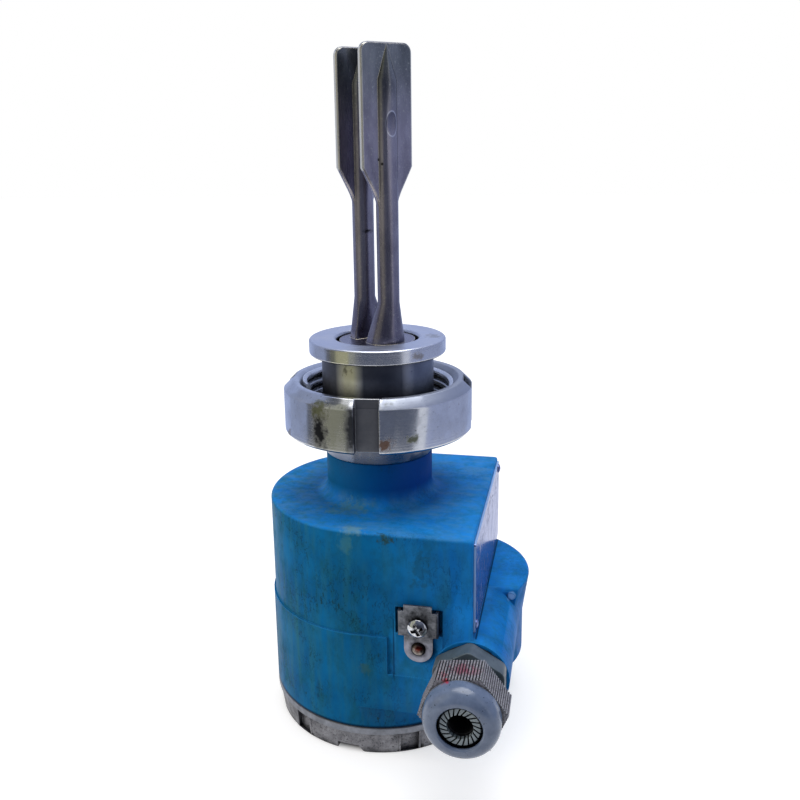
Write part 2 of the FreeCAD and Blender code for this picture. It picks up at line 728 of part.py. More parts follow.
def gland_dome_nut():
    """Dome nut: ribbed hexagon and smooth rounded nose with the cable mouth."""
    ribs_end, nose = dome_levels()
    bore = GLAND_SLEEVE + RUN
    bend = DOME_NOSE * math.cos(math.radians(45))
    nose_radius = DOME_RADIUS - DOME_NOSE
    nose_level = nose - DOME_NOSE
    dome = turned(
        (bore, ribs_end),
        (DOME_RADIUS, ribs_end),
        (DOME_RADIUS, nose_level),
        ((nose_radius + bend, nose_level + bend), (nose_radius, nose)),
        (DOME_MOUTH, nose - DOME_MOUTH_EDGE),
        (DOME_MOUTH, nose - DOME_LIP),
    )
    hex_part = ribbed_hexagon(DOME_HEX, DOME_START, ribs_end, DOME_HEX_TURN)
    hex_part = hex_part.cut(bar_z(bore, DOME_START - OVERLAP, ribs_end + OVERLAP))
    return at_gland(join(hex_part, dome))


def claw_levels():
    """Levels of the claw's shoulder, the end of its flange and its finger tips."""
    shoulder = GLAND_SLEEVE_END + RUN
    return shoulder, shoulder + CLAW_FLANGE, DOME_START + DOME_LENGTH - CLAW_TIP_BACK


def claw_bore(level):
    """Radius of the cone inside the claw's fingers at a level."""
    shoulder, flange_end, tip = claw_levels()
    root = GLAND_BORE - RUN - CLAW_WALL
    share = (level - flange_end) / (tip - CLAW_LAND - flange_end)
    return root + (CABLE_RADIUS + SNUG - root) * share


def gland_claw():
    """Clamping insert: a ring in the sleeve and a crown of fingers, whose slots lean off the radius."""
    shoulder, flange_end, tip = claw_levels()
    outer = GLAND_BORE - RUN
    inner = claw_bore(flange_end)
    flange = dome_inner_radius(flange_end) - 2 * RUN
    claw = turned(
        (inner, shoulder - CLAW_BASE_LENGTH),
        (outer, shoulder - CLAW_BASE_LENGTH),
        (outer, shoulder),
        (flange, shoulder),
        (flange, flange_end),
        (CLAW_TIP_RADIUS, tip),
        (CABLE_RADIUS + SNUG, tip),
        (CABLE_RADIUS + SNUG, tip - CLAW_LAND),
        (inner, flange_end),
    )
    half = CLAW_SLOT / 2
    slot = brick(0, 2 * flange, CLAW_LEAN - half, CLAW_LEAN + half, flange_end, tip + OVERLAP)
    return at_gland(cut_away(claw, spread(slot, CLAW_COUNT, 0)))


def gland_bush():
    """Rubber bush that grips the cable inside the claw, from its ring to just behind the finger tips."""
    shoulder, flange_end, tip = claw_levels()
    low = shoulder - CLAW_BASE_LENGTH
    high = tip - CLAW_LAND - BUSH_BACK
    outer = claw_bore(flange_end) - SNUG
    bush = turned(
        (CABLE_RADIUS, low),
        (outer, low),
        (outer, flange_end),
        (claw_bore(high) - SNUG, high),
        (CABLE_RADIUS, high),
    )
    return at_gland(bush)


def process_adapter():
    """Turned steel adapter: stem in the neck, collar, spigot and sealing disc."""
    ring_top = Z_NECK - NECK_RING_DROP
    ring_low = ring_top - NECK_RING_HEIGHT
    ring_floor = STEM_RADIUS - NECK_RING_DEPTH
    return turned(
        (STEM_BORE, Z_STEM_END),
        (STEM_RADIUS, Z_STEM_END),
        (STEM_RADIUS, ring_low),
        (ring_floor, ring_low),
        (ring_floor, ring_top),
        (STEM_RADIUS, ring_top),
        (STEM_RADIUS, Z_NECK),
        (COLLAR_RADIUS, Z_NECK),
        (COLLAR_RADIUS + COLLAR_STEP, Z_SEAT - OVERLAP),
        (COLLAR_RADIUS + COLLAR_STEP, Z_SEAT),
        (SPIGOT_RADIUS, Z_SEAT),
        (SPIGOT_RADIUS, Z_DISC),
        (DISC_RADIUS - DISC_EDGE, Z_DISC),
        (DISC_RADIUS, Z_DISC + DISC_EDGE),
        (DISC_RADIUS, Z_FACE - DISC_EDGE),
        (DISC_RADIUS - DISC_EDGE, Z_FACE),
        (HUB_BORE + DISC_MOUTH, Z_FACE),
        (HUB_BORE, Z_FACE - DISC_MOUTH),
        (HUB_BORE, Z_HUB_SEAT),
        (STEM_BORE, Z_HUB_SEAT),
    )


def neck_ring():
    """Sealing ring between the stem and the housing's neck."""
    top = Z_NECK - NECK_RING_DROP
    inner = STEM_RADIUS - NECK_RING_DEPTH + SNUG / 2
    return ring(NECK_BORE - SNUG / 2, inner, top - NECK_RING_HEIGHT + SNUG, top - SNUG)


def adapter_lock_nut():
    """Flat nut that pulls the stem tight under the housing's roof."""
    nut = hexagon(LOCK_NUT_HEX, Z_CEILING - LOCK_NUT_HEIGHT, Z_CEILING)
    return nut.cut(bar_z(STEM_RADIUS + SNUG, Z_STEM_END, Z_ROOF))


def union_nut():
    """Slotted round nut of the dairy union, loose on the spigot."""
    top = Z_NUT + NUT_HEIGHT
    lip_bore = SPIGOT_RADIUS + NUT_LIP_GAP
    mouth = NUT_MOUTH_RADIUS - NUT_THREAD_RADIUS
    nut = turned(
        (lip_bore, Z_NUT),
        (NUT_RADIUS - NUT_LOW_CHAMFER, Z_NUT),
        (NUT_RADIUS, Z_NUT + NUT_LOW_CHAMFER),
        (NUT_RADIUS, top - NUT_TOP_CHAMFER),
        (NUT_RADIUS - NUT_TOP_CHAMFER, top),
        (NUT_MOUTH_RADIUS, top),
        (NUT_THREAD_RADIUS, top - mouth),
        (NUT_THREAD_RADIUS, Z_NUT + NUT_LIP),
        (lip_bore, Z_NUT + NUT_LIP),
    )
    half = NUT_SLOT_WIDTH / 2
    slot = brick(NUT_RADIUS - NUT_SLOT_DEPTH, 2 * NUT_RADIUS, -half, half, Z_NUT - OVERLAP, top + OVERLAP)
    return cut_away(nut, spread(slot, NUT_SLOT_COUNT, NUT_SLOT_ANGLE))


def rod_point(degrees, level):
    """Point on the tine's rod."""
    angle = math.radians(degrees)
    return Vector(TINE_OFFSET + ROD_RADIUS * math.cos(angle), ROD_RADIUS * math.sin(angle), level)


def tine_foot():
    """Foot of a tine: a broad root on the diaphragm that runs into the round rod."""
    low = Z_HUB - DIAPHRAGM / 2
    high = Z_HUB + FOOT_HEIGHT
    inner = TINE_OFFSET - FOOT_INNER
    side = TINE_OFFSET - FOOT_SIDE
    corners = [
        Vector(inner, -FOOT_HALF_WIDTH, low), Vector(inner, FOOT_HALF_WIDTH, low),
        Vector(side, FOOT_HALF_WIDTH, low), Vector(side, -FOOT_HALF_WIDTH, low),
    ]
    crest = Vector(TINE_OFFSET + FOOT_CREST, 0, low)
    root = Part.Wire([
        Part.LineSegment(corners[0], corners[1]).toShape(),
        Part.LineSegment(corners[1], corners[2]).toShape(),
        Part.Arc(corners[2], crest, corners[3]).toShape(),
        Part.LineSegment(corners[3], corners[0]).toShape(),
    ])
    back, front = FOOT_BACK_EDGE, FOOT_FRONT_EDGE
    middle = (back + front) / 2
    arcs = ((-back, 180, back), (back, middle, front), (front, 0, -front), (-front, -middle, -back))
    rod = Part.Wire([Part.Arc(*(rod_point(a, high) for a in arc)).toShape() for arc in arcs])
    return Part.makeLoft([root, rod], True, True)


def tine_paddle():
    """Flat paddle of a tine: rounded top corners, broken edges and a taper that sweeps into the rod."""
    half = PADDLE_HALF_WIDTH
    root = ROD_RADIUS * math.cos(math.radians(25))
    full = Z_TIP - PADDLE_LENGTH
    low = full - PADDLE_TAPER
    lean = math.atan2(half - root, PADDLE_TAPER)
    reach = PADDLE_SWEEP * math.tan(lean / 2)
    bow_x = root + PADDLE_SWEEP * (1 - math.cos(lean / 2))
    bow_z = low - reach + PADDLE_SWEEP * math.sin(lean / 2)
    end_x = root + reach * math.sin(lean)
    end_z = low + reach * math.cos(lean)
    shoulder = Z_TIP - PADDLE_CORNER
    bend = PADDLE_CORNER * (1 - math.cos(math.radians(45)))
    back = TINE_OFFSET - PADDLE_THICKNESS / 2
    face = outline(
        lambda across, height: Vector(back, across, height),
        (-root, low - reach), ((-bow_x, bow_z), (-end_x, end_z)), (-half, full), (-half, shoulder),
        ((-half + bend, Z_TIP - bend), (-half + PADDLE_CORNER, Z_TIP)), (half - PADDLE_CORNER, Z_TIP),
        ((half - bend, Z_TIP - bend), (half, shoulder)), (half, full), (end_x, end_z),
        ((bow_x, bow_z), (root, low - reach)),
    )
    paddle = face.extrude(Vector(PADDLE_THICKNESS, 0, 0))
    rim = [e for e in paddle.Edges if e.BoundBox.XLength < SNUG and e.BoundBox.ZMax > low]
    return paddle.makeChamfer(PADDLE_EDGE, rim)


def tine():
    """One tine, standing on the +X side: foot, rod and paddle, with the rod running on as a pointed rib."""
    rib_end = Z_TIP - RIB_POINT
    rod = bar_z(ROD_RADIUS, Z_HUB + FOOT_HEIGHT, rib_end, TINE_OFFSET)
    circle = Part.makeCircle(ROD_RADIUS, Vector(TINE_OFFSET, 0, rib_end))
    points = []
    for face in (TINE_OFFSET + PADDLE_THICKNESS / 2, TINE_OFFSET - PADDLE_THICKNESS / 2):
        apex = Part.Vertex(Vector(face, 0, Z_TIP - PADDLE_EDGE))
        points.append(Part.makeLoft([Part.Wire(circle), apex], True, True))
    return join(tine_foot(), rod, *points, tine_paddle())


def fork():
    """Fork: two tines on a diaphragm that closes the hub."""
    hub = bar_z(HUB_RADIUS, Z_HUB_SEAT, Z_HUB)
    hub = hub.cut(bar_z(STEM_BORE, Z_HUB_SEAT - OVERLAP, Z_HUB - DIAPHRAGM))
    front = tine()
    grind_axis = TINE_OFFSET + ROD_RADIUS - DIMPLE_DEPTH + DIMPLE_GRIND
    grind = Part.makeSphere(DIMPLE_GRIND, Vector(grind_axis, 0, Z_TIP - DIMPLE_DROP))
    marked = front.cut(grind)
    return join(hub, turn_z(marked, FORK_ANGLE), turn_z(front, FORK_ANGLE + 180))


def stack_levels():
    """Under side of the top washer, of each disc and of the bottom washer, downwards."""
    top = Z_HUB - DIAPHRAGM
    discs_top = top - WASHER_THICKNESS
    discs_low = discs_top - PIEZO_COUNT * PIEZO_THICKNESS - (PIEZO_COUNT - 1) * SHIM_THICKNESS
    return top, discs_top, discs_low, discs_low - WASHER_THICKNESS


def piezo_discs():
    """Ceramic discs of the drive."""
    top, discs_top, discs_low, low = stack_levels()
    pitch = PIEZO_THICKNESS + SHIM_THICKNESS
    levels = [discs_low + k * pitch for k in range(PIEZO_COUNT)]
    return Part.makeCompound([bar_z(STEM_BORE - STACK_GAP, z, z + PIEZO_THICKNESS) for z in levels])


def electrode_shims():
    """Thin contact discs between the ceramics."""
    top, discs_top, discs_low, low = stack_levels()
    pitch = PIEZO_THICKNESS + SHIM_THICKNESS
    levels = [discs_low + PIEZO_THICKNESS + k * pitch for k in range(PIEZO_COUNT - 1)]
    return Part.makeCompound([bar_z(STEM_BORE - STACK_GAP / 2, z, z + SHIM_THICKNESS) for z in levels])


def insulating_washers():
    """Insulators above and below the discs."""
    top, discs_top, discs_low, low = stack_levels()
    radius = STEM_BORE - STACK_GAP / 2
    return Part.makeCompound([bar_z(radius, discs_top, top), bar_z(radius, low, discs_low)])


def pressure_screw():
    """Hollow screw that presses the stack against the diaphragm."""
    top, discs_top, discs_low, low = stack_levels()
    return ring(STEM_BORE - SNUG, LEAD_RADIUS + SNUG, low - PRESSURE_SCREW_LENGTH, low)


def sensor_lead():
    """Straight lead from the stack down to the electronic insert."""
    top, discs_top, discs_low, low = stack_levels()
    return bar_z(LEAD_RADIUS, Z_CUP_TOP, low)


def electronics_insert():
    """Potted insert: a clipped flange under the bosses and a round cup above it."""
    flange = bar_z(CAVITY_RADIUS - INSERT_GAP, Z_INSERT, Z_INSERT_TOP)
    reach = 2 * CAVITY_RADIUS
    flange = flange.cut(brick(INSERT_CLIP, reach, -reach, reach, 0, Z_ROOF))
    cup = turned(
        (0, Z_INSERT_TOP - OVERLAP),
        (CUP_RADIUS, Z_INSERT_TOP - OVERLAP),
        (CUP_RADIUS, Z_CUP_TOP - CUP_EDGE),
        (CUP_RADIUS - CUP_EDGE, Z_CUP_TOP),
        (0, Z_CUP_TOP),
    )
    insert = join(flange, cup)
    cutters = [bar_z(BOSS_SCREW + SNUG, 0, Z_INSERT_TOP + OVERLAP, x, y) for x, y in boss_places()]
    half = SLIDER_SIZE / 2 + RUN
    cutters.append(brick(
        SLIDER_X - half, SLIDER_X + half, -half, half + SLIDER_TRAVEL, 0, Z_INSERT + SLIDER_POCKET,
    ))
    cutters.append(bar_z(LAMP_RADIUS + SNUG, 0, Z_INSERT + LAMP_RISE, LAMP_X, -LAMP_Y))
    return cut_away(insert, cutters)


def terminal_rows():
    """Places of the terminals along Y."""
    return [(k - (TERMINAL_COUNT - 1) / 2) * TERMINAL_PITCH for k in range(TERMINAL_COUNT)]


def terminal_block():
    """Moulded block with a wire hole and a screw well for each terminal."""
    half_depth = TERMINAL_DEPTH / 2
    half_width = TERMINAL_COUNT * TERMINAL_PITCH / 2
    low = Z_INSERT - TERMINAL_HEIGHT
    block = brick(TERMINAL_X - half_depth, TERMINAL_X + half_depth, -half_width, half_width, low, Z_INSERT)
    side = TERMINAL_X + half_depth
    half_wire = WIRE_HOLE_WIDTH / 2
    wire_low = low + (TERMINAL_HEIGHT - WIRE_HOLE_HEIGHT) / 2
    cutters = []
    for y in terminal_rows():
        cutters.append(bar_z(TERMINAL_WELL, low - OVERLAP, low + TERMINAL_WELL_DEPTH, TERMINAL_X, y))
        cutters.append(brick(
            side - WIRE_HOLE_DEPTH, side + OVERLAP, y - half_wire, y + half_wire,
            wire_low, wire_low + WIRE_HOLE_HEIGHT,
        ))
    return cut_away(block, cutters)


def terminal_screws():
    """Slotted screws in the terminal block's wells."""
    top = Z_INSERT - TERMINAL_HEIGHT + TERMINAL_WELL_DEPTH
    low = top - TERMINAL_SCREW_LENGTH
    radius = TERMINAL_WELL - SNUG
    screws = []
    for y in terminal_rows():
        slot = brick(TERMINAL_X - 2 * radius, TERMINAL_X + 2 * radius, y - RUN, y + RUN, low - OVERLAP, low + OVERLAP)
        screws.append(bar_z(radius, low, top, TERMINAL_X, y).cut(slot))
    return Part.makeCompound(screws)


def insert_screws():
    """Screws that hold the insert's flange to the bosses."""
    screws = []
    for x, y in boss_places():
        head = bar_z(BOSS_SCREW_HEAD, Z_INSERT - BOSS_SCREW_HEAD_RISE, Z_INSERT, x, y)
        shank = bar_z(BOSS_SCREW, Z_INSERT - OVERLAP, Z_INSERT + BOSS_SCREW_LENGTH, x, y)
        screws.append(join(head, shank))
    return Part.makeCompound(screws)


def mode_slider():
    """Small slide switch that sets the switching mode."""
    half = SLIDER_SIZE / 2
    top = Z_INSERT + SLIDER_POCKET - RUN
    return brick(SLIDER_X - half, SLIDER_X + half, -half, half, Z_INSERT - SLIDER_RISE, top)


def status_lamp():
    """Small lamp in the insert's flange."""
    lamp = turned((0, 0), *domed_head(LAMP_RADIUS, LAMP_RISE + LAMP_RADIUS, LAMP_RISE))
    lamp.rotate(Vector(), Vector(1, 0, 0), 180)
    lamp.translate(Vector(LAMP_X, -LAMP_Y, Z_INSERT + LAMP_RISE))
    return lamp


PIECES = (
    housing_shell, housing_cover, cover_seal, name_plate, plate_rivets,
    earth_strip, earth_saddle, earth_screw, earth_rivet,
    gland_body, gland_o_ring, gland_dome_nut, gland_claw, gland_bush,
    process_adapter, neck_ring, adapter_lock_nut, union_nut, fork,
    piezo_discs, electrode_shims, insulating_washers, pressure_screw, sensor_lead,
    electronics_insert, terminal_block, terminal_screws, insert_screws, mode_slider, status_lamp,
)

os.makedirs("parts", exist_ok=True)
for piece in PIECES:
    piece().exportStep("parts/" + piece.__name__ + ".step")
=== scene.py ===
import bmesh
import bpy
import math
from mathutils import Matrix, Vector


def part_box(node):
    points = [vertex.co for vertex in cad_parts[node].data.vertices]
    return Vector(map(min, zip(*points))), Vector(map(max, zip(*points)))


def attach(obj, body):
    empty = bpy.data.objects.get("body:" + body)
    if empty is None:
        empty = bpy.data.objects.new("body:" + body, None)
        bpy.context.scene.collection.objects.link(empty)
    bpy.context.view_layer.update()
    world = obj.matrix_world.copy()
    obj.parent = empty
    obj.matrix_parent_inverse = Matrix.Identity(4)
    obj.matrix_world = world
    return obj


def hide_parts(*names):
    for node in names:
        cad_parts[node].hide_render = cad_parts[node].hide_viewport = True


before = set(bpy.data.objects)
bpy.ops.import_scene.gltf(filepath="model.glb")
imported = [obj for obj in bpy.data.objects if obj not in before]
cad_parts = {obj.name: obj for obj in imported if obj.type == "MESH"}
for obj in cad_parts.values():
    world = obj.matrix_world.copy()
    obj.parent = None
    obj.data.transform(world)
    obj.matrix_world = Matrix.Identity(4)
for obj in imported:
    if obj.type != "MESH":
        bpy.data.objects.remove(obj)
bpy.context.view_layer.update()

# Housing: one aluminium die casting with a neck, a sunk conduit and a flat plate side.
# It is coated with azure powder, which is grimy, wiped and chipped after years of use; some of its light and
# shade is painted on.
# It carries everything else, so all other pieces are placed by its frame.
MM = 0.001
# Heights of the coat's zones, from start to full: the roof, painted lighter as lit, and the neck and rim,
# painted in shade.
ROOF_ZONE = (96.0 * MM, 96.9 * MM)
NECK_ZONE = (98.5 * MM, 104 * MM)
RIM_ZONE = (14.2 * MM, 13.5 * MM)
# Zones across the housing: its right side, painted lighter as lit, its grimy left side, and the neck's
# painted shade from left to right.
SUNNY_ZONE = (6 * MM, 46 * MM)
GRIMY_ZONE = (12 * MM, -34 * MM)
NECK_SIDES = (-20 * MM, 18 * MM)
# Pad of the earth terminal: the line of its left edge, where shade is painted, its heights, and how far out
# the wall is.
PAD_EDGE = (14.9 * MM, 15.3 * MM)
PAD_HEIGHTS = (37 * MM, 62 * MM)
PAD_WALL = (-40 * MM, -42 * MM)
# Stains and chips of the coat, with a painted highlight and a painted shade: centre and reach in mm, tint,
# share and raggedness.
COAT_MARKS = (
    ((-1.0, -44.0, 97.0), (6.0, 4.0, 2.0), "#7fa59c", 0.50, 0.5),
    ((-3.0, -46.4, 91.5), (3.4, 2.5, 5.0), "#4f8a86", 0.40, 0.7),
    ((12.5, -46.4, 95.2), (3.4, 2.4, 2.4), "#2c4a44", 0.85, 1.1),
    ((-8.0, -26.0, 98.5), (12.0, 6.0, 3.5), "#5a8a7c", 0.45, 0.9),
    ((3.8, -46.8, 39.5), (2.6, 2.5, 3.4), "#3f6656", 0.45, 1.0),
    ((-17.2, -46.5, 25.4), (1.5, 4.0, 6.5), "#123a52", 0.75, 0.5),
    ((25.6, -46.3, 84.0), (4.5, 2.5, 8.0), "#1f5560", 0.45, 1.2),
    # Painted highlight on the stud on the block.
    ((57.0, -4.9, 53.8), (2.2, 3.0, 2.2), "#9cc8f0", 0.95, 0.2),
    # Painted shade low on the left wall.
    ((-44.0, -14.0, 28.0), (8.0, 24.0, 30.0), "#14486a", 0.55, 0.6),
)


def linear(hex_colour):
    """Linear colour of an sRGB hex value."""
    parts = [int(hex_colour[k:k + 2], 16) / 255 for k in (1, 3, 5)]
    return [p / 12.92 if p <= 0.04045 else ((p + 0.055) / 1.055) ** 2.4 for p in parts] + [1.0]


def add(tree, kind, inputs=None, out=0, **settings):
    """Add a node, set it up, set or link its inputs, and return one of its outputs, if any."""
    node = tree.nodes.new("ShaderNode" + kind)
    for name, value in settings.items():
        setattr(node, name, value)
    for key, value in (inputs or {}).items():
        if isinstance(value, bpy.types.NodeSocket):
            tree.links.new(value, node.inputs[key])
        else:
            node.inputs[key].default_value = value
    return node.outputs[out] if node.outputs else None


def new_finish(name):
    """Empty material, its node tree and its Object coordinates."""
    material = bpy.data.materials.new(name)
    material.use_nodes = True
    tree = material.node_tree
    tree.nodes.clear()
    return material, tree, add(tree, "TexCoord", out="Object")


def layer(tree, under, over, share, strength=1.0):
    """Lay one colour over another where a share says, weakened by a number or by a second share."""
    covered = add(tree, "Math", {0: share, 1: strength}, operation="MULTIPLY")
    return add(tree, "Mix", {0: covered, 6: under, 7: over}, out=2, data_type="RGBA")


def speckle(tree, place, size, low, high, stretch=(1, 1, 1), detail=4.0, rough=0.6, most=1.0):
    """Noise of a real size, cut to the part between two levels. A stretch draws it out along an axis."""
    squeezed = add(tree, "Mapping", {"Vector": place, "Scale": [1 / s for s in stretch]})
    noise = add(tree, "TexNoise", {
        "Vector": squeezed, "Scale": 1 / size, "Detail": detail, "Roughness": rough,
    })
    return add(tree, "MapRange", {"Value": noise, "From Min": low, "From Max": high, "To Max": most})


def stain(tree, place, centre, reach, ragged, grain=2.4 * MM):
    """Spot with a wandering edge: 1 in its middle, 0 about its reach along each axis."""
    offset = add(tree, "VectorMath", {0: place, 1: centre}, operation="SUBTRACT")
    shape = add(tree, "VectorMath", {0: offset, 1: reach}, operation="DIVIDE")
    distance = add(tree, "VectorMath", {0: shape}, out="Value", operation="LENGTH")
    wander = add(tree, "TexNoise", {
        "Vector": place, "Scale": 1 / grain, "Detail": 6.0, "Roughness": 0.65,
    })
    edge = add(tree, "MapRange", {
        "Value": wander, "From Min": 0.25, "From Max": 0.75, "To Min": -ragged, "To Max": ragged,
    })
    rough = add(tree, "Math", {0: distance, 1: edge}, operation="ADD")
    return add(tree, "MapRange", {"Value": rough, "From Min": 1.0, "From Max": 0.35})


def marked(tree, place, colour, marks, grain=2.4 * MM):
    """Lay marks over a colour, each given by centre and reach in mm, tint, share and raggedness."""
    for centre, reach, tint, share, ragged in marks:
        spot = stain(tree, place, [c * MM for c in centre], [r * MM for r in reach], ragged, grain)
        colour = layer(tree, colour, linear(tint), spot, share)
    return colour


def span(tree, value, low, high, soft):
    """1 between two levels of a value, 0 outside them, with soft flanks."""
    rise = add(tree, "MapRange", {"Value": value, "From Min": low - soft, "From Max": low + soft})
    fall = add(tree, "MapRange", {"Value": value, "From Min": high + soft, "From Max": high - soft})
    return add(tree, "Math", {0: rise, 1: fall}, operation="MINIMUM")


def edge_wear_and_highlight(tree, reach):
    """Share of edge at each point: how far a rounded normal turns away from the true one."""
    rounded = add(tree, "Bevel", {"Radius": reach}, samples=4)
    true = add(tree, "NewGeometry", out="Normal")
    agree = add(tree, "VectorMath", {0: rounded, 1: true}, out="Value", operation="DOT_PRODUCT")
    return add(tree, "MapRange", {"Value": agree, "From Min": 0.985, "From Max": 0.80})


def lit_and_wiped_share(tree, place):
    """Two shares of the coat: roof and right side, painted lighter as lit and wiped, and the roof alone."""
    side = add(tree, "SeparateXYZ", {0: place}, out="X")
    height = add(tree, "SeparateXYZ", {0: place}, out="Z")
    roof = add(tree, "MapRange", {"Value": height, "From Min": ROOF_ZONE[0], "From Max": ROOF_ZONE[1]})
    right = add(tree, "MapRange", {"Value": side, "From Min": SUNNY_ZONE[0], "From Max": SUNNY_ZONE[1]})
    return add(tree, "Math", {0: roof, 1: right}, operation="MAXIMUM"), roof


def grimy_and_shaded_azure(tree, place, soot_and_shadow):
    """Azure painted lighter where lit and wiped, under a film that has run down, soot, and painted shade on
    the neck.
    """
    side = add(tree, "SeparateXYZ", {0: place}, out="X")
    height = add(tree, "SeparateXYZ", {0: place}, out="Z")
    bright, roof = lit_and_wiped_share(tree, place)
    clouds = speckle(tree, place, 18 * MM, 0.36, 0.66)
    # Painted light: the roof and right side are a lighter azure, as lit, and the walls a darker one.
    walls = layer(tree, linear("#0a6ea6"), linear("#075c90"), clouds)
    sunny = layer(tree, linear("#1d86d7"), linear("#1472c0"), clouds)
    clean = layer(tree, walls, sunny, bright)
    streaks = speckle(tree, place, 3.5 * MM, 0.44, 0.70, stretch=(1, 1, 9), detail=6.0)
    far_side = add(tree, "MapRange", {
        "Value": side, "From Min": GRIMY_ZONE[0], "From Max": GRIMY_ZONE[1], "To Min": 0.40, "To Max": 0.80,
    })
    filmed = layer(tree, clean, linear("#2a6f7c"), streaks, far_side)
    strokes = speckle(
        tree, place, 5 * MM, 0.45, 0.66, stretch=(2.4, 1.1, 1.0), detail=6.0, rough=0.62, most=0.5,
    )
    wiped = layer(tree, filmed, linear("#4f88b2"), strokes, roof)
    left = add(tree, "MapRange", {"Value": bright, "To Min": 0.62, "To Max": 0.30})
    sooty_and_shaded = layer(tree, wiped, linear("#185864"), soot_and_shadow, left)
    # The neck stands in the nut's shade, which is painted on: teal on the left and navy on the right.
    neck = add(tree, "MapRange", {"Value": height, "From Min": NECK_ZONE[0], "From Max": NECK_ZONE[1]})
    across = add(tree, "MapRange", {"Value": side, "From Min": NECK_SIDES[0], "From Max": NECK_SIDES[1]})
    shade = layer(tree, linear("#015a84"), linear("#014290"), across)
    return layer(tree, sooty_and_shaded, shade, neck, 0.94)


def shade_in_corners_and_gaps(tree, place):
    """Share of painted shade in corners, along the rim, beside the earth terminal's pad, and along the
    plate.
    """
    side = add(tree, "SeparateXYZ", {0: place}, out="X")
    front = add(tree, "SeparateXYZ", {0: place}, out="Y")
    height = add(tree, "SeparateXYZ", {0: place}, out="Z")
    corners = add(tree, "AmbientOcclusion", {"Distance": 2 * MM}, out="AO", samples=6)
    painted_shade = add(tree, "MapRange", {"Value": corners, "From Min": 0.70, "From Max": 0.30, "To Max": 0.6})
    rim = add(tree, "MapRange", {
        "Value": height, "From Min": RIM_ZONE[0], "From Max": RIM_ZONE[1], "To Max": 0.85,
    })
    beside_pad = add(tree, "Math", {
        0: span(tree, side, *PAD_EDGE, 0.15 * MM), 1: span(tree, height, *PAD_HEIGHTS, 1 * MM),
    }, operation="MULTIPLY")
    outside = add(tree, "MapRange", {
        "Value": front, "From Min": PAD_WALL[0], "From Max": PAD_WALL[1], "To Max": 0.75,
    })
    pad_line = add(tree, "Math", {0: beside_pad, 1: outside}, operation="MULTIPLY")
    low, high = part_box("name_plate")
    root = add(tree, "Math", {
        0: span(tree, side, high.x - 0.1 * MM, high.x + 0.5 * MM, 0.1 * MM),
        1: span(tree, front, low.y, high.y, 0.5 * MM),
    }, operation="MULTIPLY")
    below_top = add(tree, "MapRange", {
        "Value": height, "From Min": high.z - 8 * MM, "From Max": high.z - 10 * MM, "To Max": 0.85,
    })
    plate_line = add(tree, "Math", {0: root, 1: below_top}, operation="MULTIPLY")
    for shade_line in (rim, pad_line, plate_line):
        painted_shade = add(tree, "Math", {0: painted_shade, 1: shade_line}, operation="MAXIMUM")
    return painted_shade


def azure_powder_coat():
    """Polyester powder, baked on: smooth and rich in colour, with trails, flecks and chips, and a painted
    highlight on its edges.
    """
    material, tree, place = new_finish("azure_powder_coat")
    soot_and_shadow = speckle(tree, place, 7 * MM, 0.48, 0.68, stretch=(1, 1, 1.8), detail=8.0, rough=0.72)
    grimy_and_shaded = grimy_and_shaded_azure(tree, place, soot_and_shadow)
    # Hairline scratches and dirt trails: contour lines of a noise, as fine as the render can show.
    drawn_out = add(tree, "Mapping", {"Vector": place, "Scale": (1, 1, 0.5)})
    wander = add(tree, "TexNoise", {
        "Vector": drawn_out, "Scale": 1 / (3.0 * MM), "Detail": 6.0, "Roughness": 0.64,
    })
    off_middle = add(tree, "Math", {0: wander, 1: 0.5}, operation="SUBTRACT")
    from_line = add(tree, "Math", {0: off_middle}, operation="ABSOLUTE")
    trail = add(tree, "MapRange", {"Value": from_line, "From Min": 0.020, "From Max": 0.0})
    # They come in patches, and fewer are left where the coat has been wiped.
    bright, _ = lit_and_wiped_share(tree, place)
    left = add(tree, "MapRange", {"Value": bright, "To Min": 0.80, "To Max": 0.35})
    patches = speckle(tree, place, 17 * MM, 0.44, 0.60, detail=3.0)
    shown = add(tree, "Math", {0: patches, 1: left}, operation="MULTIPLY")
    trailed = layer(tree, grimy_and_shaded, linear("#0a3142"), trail, shown)
    flecks = speckle(tree, place, 1.5 * MM, 0.62, 0.69, stretch=(1, 1, 2.4), detail=3.0)
    flecked = layer(tree, trailed, linear("#173f40"), flecks, shown)
    # Painted highlight: a lighter azure along the edges.
    edged = layer(tree, flecked, linear("#2c93dd"), edge_wear_and_highlight(tree, 0.9 * MM), 0.6)
    chipped = marked(tree, place, edged, COAT_MARKS)
    # Painted shade in corners and gaps.
    colour = layer(tree, chipped, linear("#03243a"), shade_in_corners_and_gaps(tree, place))
    gloss = add(tree, "MapRange", {"Value": soot_and_shadow, "To Min": 0.42, "To Max": 0.62})
    peel = add(tree, "TexNoise", {"Vector": place, "Scale": 1 / (1.1 * MM), "Detail": 2.0})
    rounded = add(tree, "Bevel", {"Radius": 0.4 * MM}, samples=4)
    normal = add(tree, "Bump", {"Height": peel, "Strength": 0.10, "Distance": 0.1 * MM, "Normal": rounded})
    shader = add(tree, "BsdfPrincipled", {
        "Base Color": colour, "Roughness": gloss, "IOR": 1.5, "Specular IOR Level": 0.04, "Normal": normal,
    })
    add(tree, "OutputMaterial", {"Surface": shader})
    return material


def as_piece(name, bm, body, material, stands_for=(), sharp=30):
    """Make a mesh a piece of the object that rides on a body."""
    mesh = bpy.data.meshes.new(name)
    bm.to_mesh(mesh)
    bm.free()
    mesh.shade_smooth()
    mesh.set_sharp_from_angle(angle=math.radians(sharp))
    mesh.materials.append(material)
    piece = bpy.data.objects.new(name, mesh)
    bpy.context.scene.collection.objects.link(piece)
    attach(piece, body)
    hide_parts(*stands_for)
    return piece


